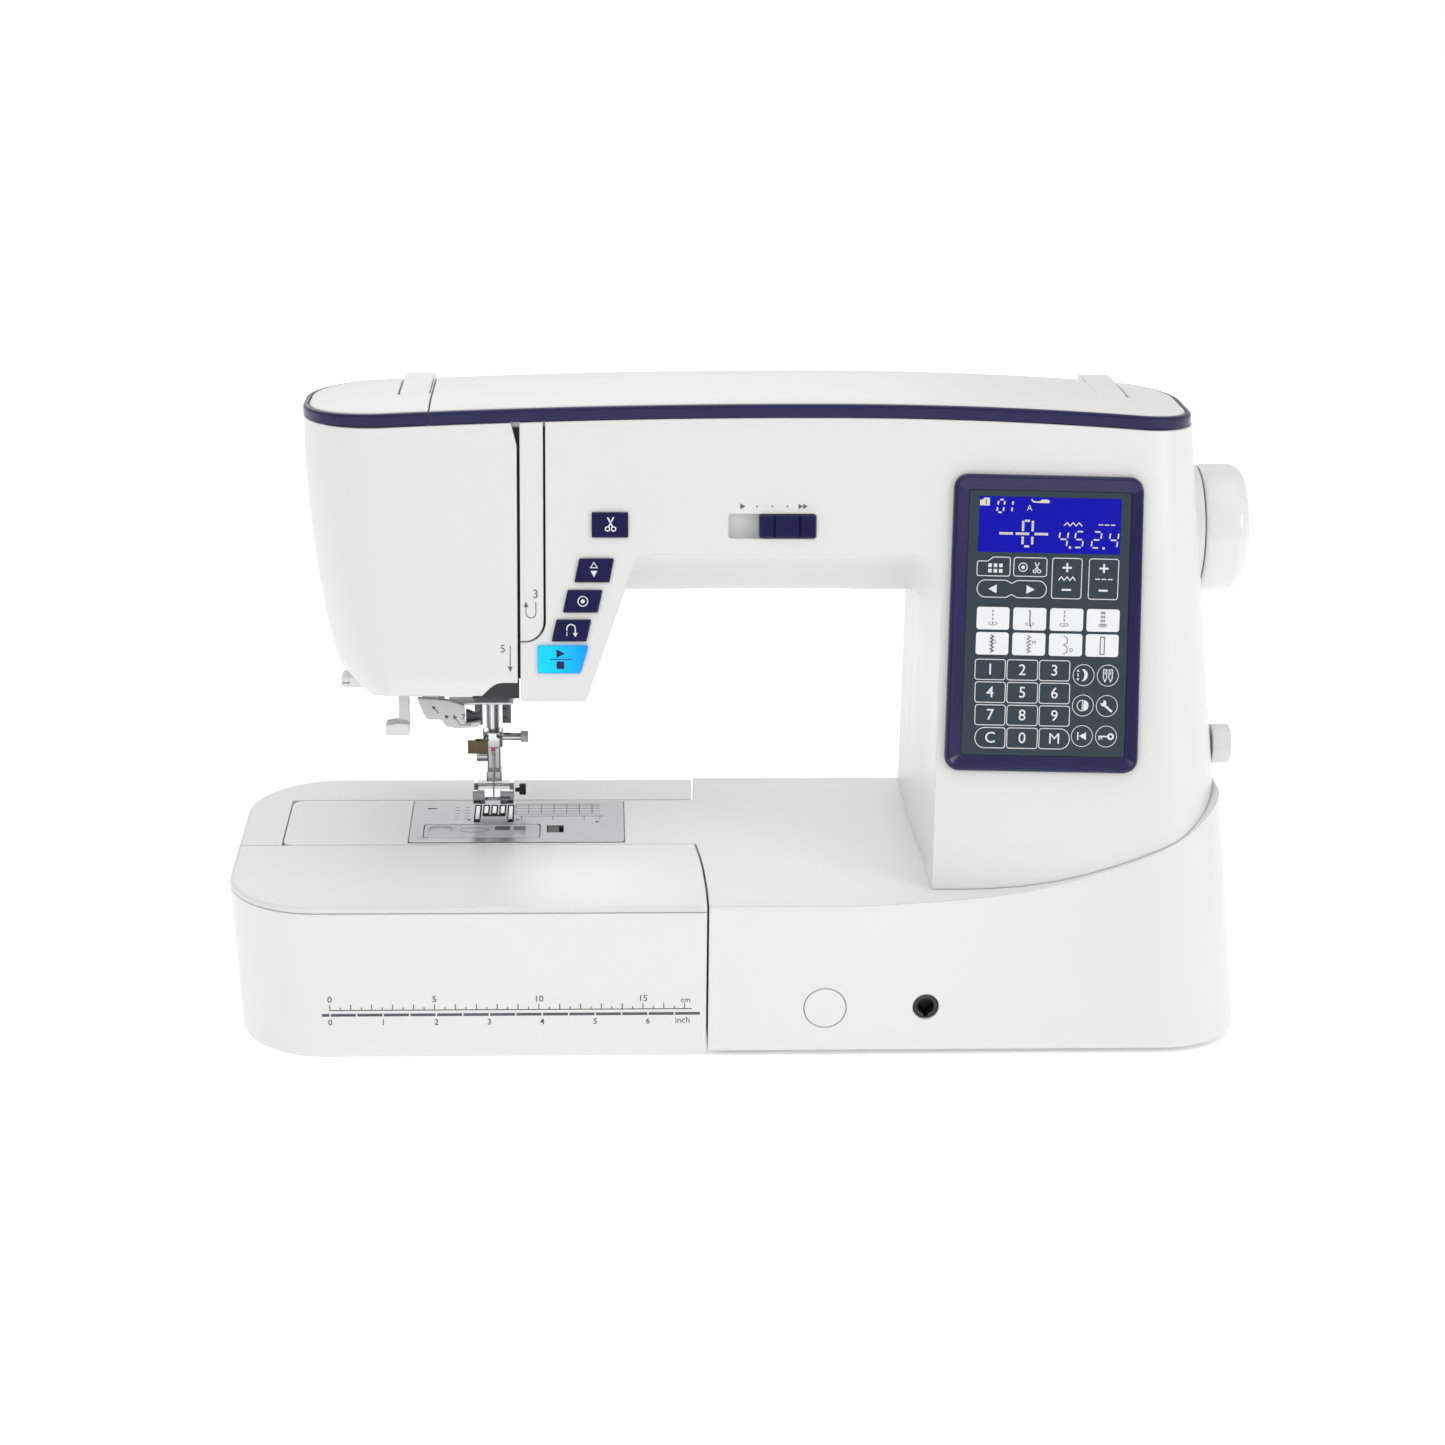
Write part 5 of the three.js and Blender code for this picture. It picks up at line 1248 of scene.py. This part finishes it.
piece("foot_sole", sole, CHROME, "sole", ["presser_foot"], bevel=0.25)
thumb = join(rod("x", 1.1, 10.7, 12.8, (127, 90.6), 20), rod("x", 2.95, 12.8, 16.2, (127, 90.9), 36, 0.4))
knurled(thumb, 12.2, 17, 127, 90.9, 15)
piece("foot_thumb_screw", thumb, BLACK, "sole")

# ---- threader, guides and guards under the head
lever = join(soft_box(-44.3, -38.9, 74.2, 78.8, 141, 196, 1.2, 0.5),
    along("y", rounded([(-50.6, 140.6, 0.8), (-38.9, 140.6, 0.8), (-38.9, 146.2, 0.3), (-44.3, 146.6, 1.5),
        (-50.6, 145.6, 1.0)], 6), 71, 79.4),
    soft_box(-41, -26, 79, 84, 172, 178, 0.8, 0.4), soft_box(-30, -25, 79, 104, 172, 178, 0.8, 0.4),
    soft_box(-34.0, -25.5, 97.6, 103.4, 142, 178, 0.8, 0.4))
piece("threader_lever", lever, WHITE, "threader", ["needle_threader"], bevel=0.4)
arm = along("y", rounded([(-36.5, 151.0, 0.5), (-33.4, 142.8, 1), (-31.4, 139.8, 1), (-24.8, 139.8, 1),
    (-22.6, 136.4, 2),
    (-17.8, 135.2, 2), (-7.2, 135.6, 1), (-4.8, 137.6, 0.5), (-6.2, 138.6, 0.5), (-12.8, 137.4, 0.8),
    (-13.2, 147.0, 1), (-21.6, 149.8, 1)], 6), 96.0, 98.6)
hooked = cut(join(arm, soft_box(-34.0, -23.0, 98.2, 99.2, 146, 151, 0.8, 0.2)),
    rod("y", 0.9, 90, 110, (-22.0, 141.2), 20))
piece("threader_arm", hooked, WHITE, "threader", bevel=0.4)
on_arm = (lambda x, z, w=0.0: (x, 96.0 - w, z))
arrows = [line([(-25.9, 143.2), (-28.2, 145.7)], 0.5, on_arm, *ON),
    flat([(-29.4, 147.0), (-27.2, 146.3), (-28.6, 144.9)], on_arm, *ON),
    line([(-10.0, 136.9), (-15.2, 136.9), (-17.6, 140.2)], 0.4, on_arm, *ON),
    flat([(-18.8, 142.4), (-16.7, 140.9), (-18.6, 139.7)], on_arm, *ON),
    characters("7", 3.2, -13.8, 141.0, on_arm, *ON), flat(disc(-22.0, 141.2, 1.0, 20), on_arm, -0.6, -0.3)]
piece("threader_marks", gather(arrows), PRINT_GREY, "threader")
catch = along("y", rounded([(-12.6, 137.2, 0.5), (-6.8, 136.8, 0.5), (-4.9, 138.6, 0.5), (-5.0, 143.2, 0.5),
    (-8.6, 141.6, 0.5), (-12.6, 143.4, 0.5)], 5), 99.4, 103.2)
piece("threader_catch", catch, CHARCOAL, "threader", bevel=0.3)
shelf = join(soft_box(-21.5, 11.0, 104.2, 113.4, 144.6, 145.9, 1.0, 0.3),
    soft_box(-9, 9, 111.8, 113.2, 145.0, 176, 0.4, 0.2),
    soft_box(-21.0, -14.0, 111.8, 113.2, 138.6, 145.6, 0.4, 0.2))
piece("needle_bar_shelf", shelf, STEEL, "machine", bevel=0.2)
bushing = cut(join(rod("z", 4.7, 140.2, 186, (0, NEEDLE_Y), 40, 0.4), rod("z", 5.4, 146, 160, (0, NEEDLE_Y), 6)),
    rod("z", 3.5, 130, 200, (0, NEEDLE_Y), 32))
piece("needle_bar_bushing", bushing, CHROME, "machine")
post = join(soft_box(4.6, 9.0, 126.4, 129.4, 127.0, 186, 0.5, 0.3),
    soft_box(-9.4, -5.4, 126.4, 129.4, 126.0, 186, 0.5, 0.3),
    soft_box(-9.4, 9.0, 126.4, 129.4, 150, 160, 0.5, 0.3), rod("y", 1.3, 125.4, 126.6, (6.0, 134.0), 16, 0.2),
    rod("y", 1.3, 125.4, 126.6, (6.0, 129.0), 16, 0.2))
piece("presser_guide_post", post, GUNMETAL, "machine")
blade = cut(soft_box(-72.0, -60, 76, 88, 163.4, 168.8, 1.8, 0.9), box(-74, -68, 74.0, 83, 165.4, 166.6))
piece("side_thread_cutter", blade, WHITE, "machine", ["thread_cutter"], bevel=0.3)
edge = soft_box(-71.4, -68.2, 77.4, 82.6, 165.55, 166.45, 0.3, 0.1)
piece("side_cutter_blade", edge, CHROME, "machine")

# ---- lamp, dial, socket
rings = [[(x, y, z) for x, y in rectangle(96.6 + i, 106.6 + i * 0.6, 178.4 - i, 121.4 - i * 0.6, 4.0)] for i, z in
    ((0, 204.2), (0, 203.0), (0.6, 202.0), (1.8, 201.2), (3.4, 200.9))]
lens = join(loft("lens", rings), soft_box(93, 182, 105.4, 123.6, 207.7, 210, 5, 0.3),
    soft_box(97.4, 177.6, 107.4, 120.6,
        203.5, 208.5, 4.4, 0.2))
piece("lamp_window", lens, LENS, "machine", ["lamp_lens"])
ribs = [(DIAL_AT[0] + r * math.cos(a), DIAL_AT[1] + r * math.sin(a)) for i in range(44)
    for r, a in ((9.7, math.radians(360 / 44 * i)), (9.7, math.radians(360 / 44 * (i + 0.5))),
        (9.5, math.radians(360 / 44 * (i + 0.75))))]
dial = join(loft("dial", [[(x, DIAL_AT[0] + (y - DIAL_AT[0]) * k, DIAL_AT[1] + (z - DIAL_AT[1]) * k) for y, z in ribs]
    for x, k in ((356.3, 0.97), (356.7, 1.0), (364.6, 1.0), (365.3, 0.97), (365.6, 0.92))]),
    rod("x", 3.2, 345, 360, DIAL_AT, 24))
piece("balance_dial", dial, WHITE, "dial", ["feed_balance_dial"], sharp=25)

KEEP = (
    (BLACK, "base_pan knee_lifter_socket hook_cover_release bobbin_holder motor_pulley power_switch power_inlet"),
    (WHITE, "access_plug drop_feed_lever foot_lifter_lever spool_pin"),
    (RUBBER, "foot_front_left foot_front_right foot_rear_left foot_rear_right drive_belt"),
    (PLATE_STEEL, "needle_plate"),
    (STEEL, "feed_dog"),
    (CHROME, "rotary_hook upper_shaft lower_shaft needle_bar take_up_lever bobbin_winder"),
    (CLEAR, "bobbin"),
    (CAST, "main_frame needle_bar_frame"),
    (CAN, "motor"),
    (BOARD, "display_board"),
)
for look, names in KEEP:
    for node in names.split():
        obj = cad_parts[node]
        obj.data.materials.clear()
        obj.data.materials.append(look)
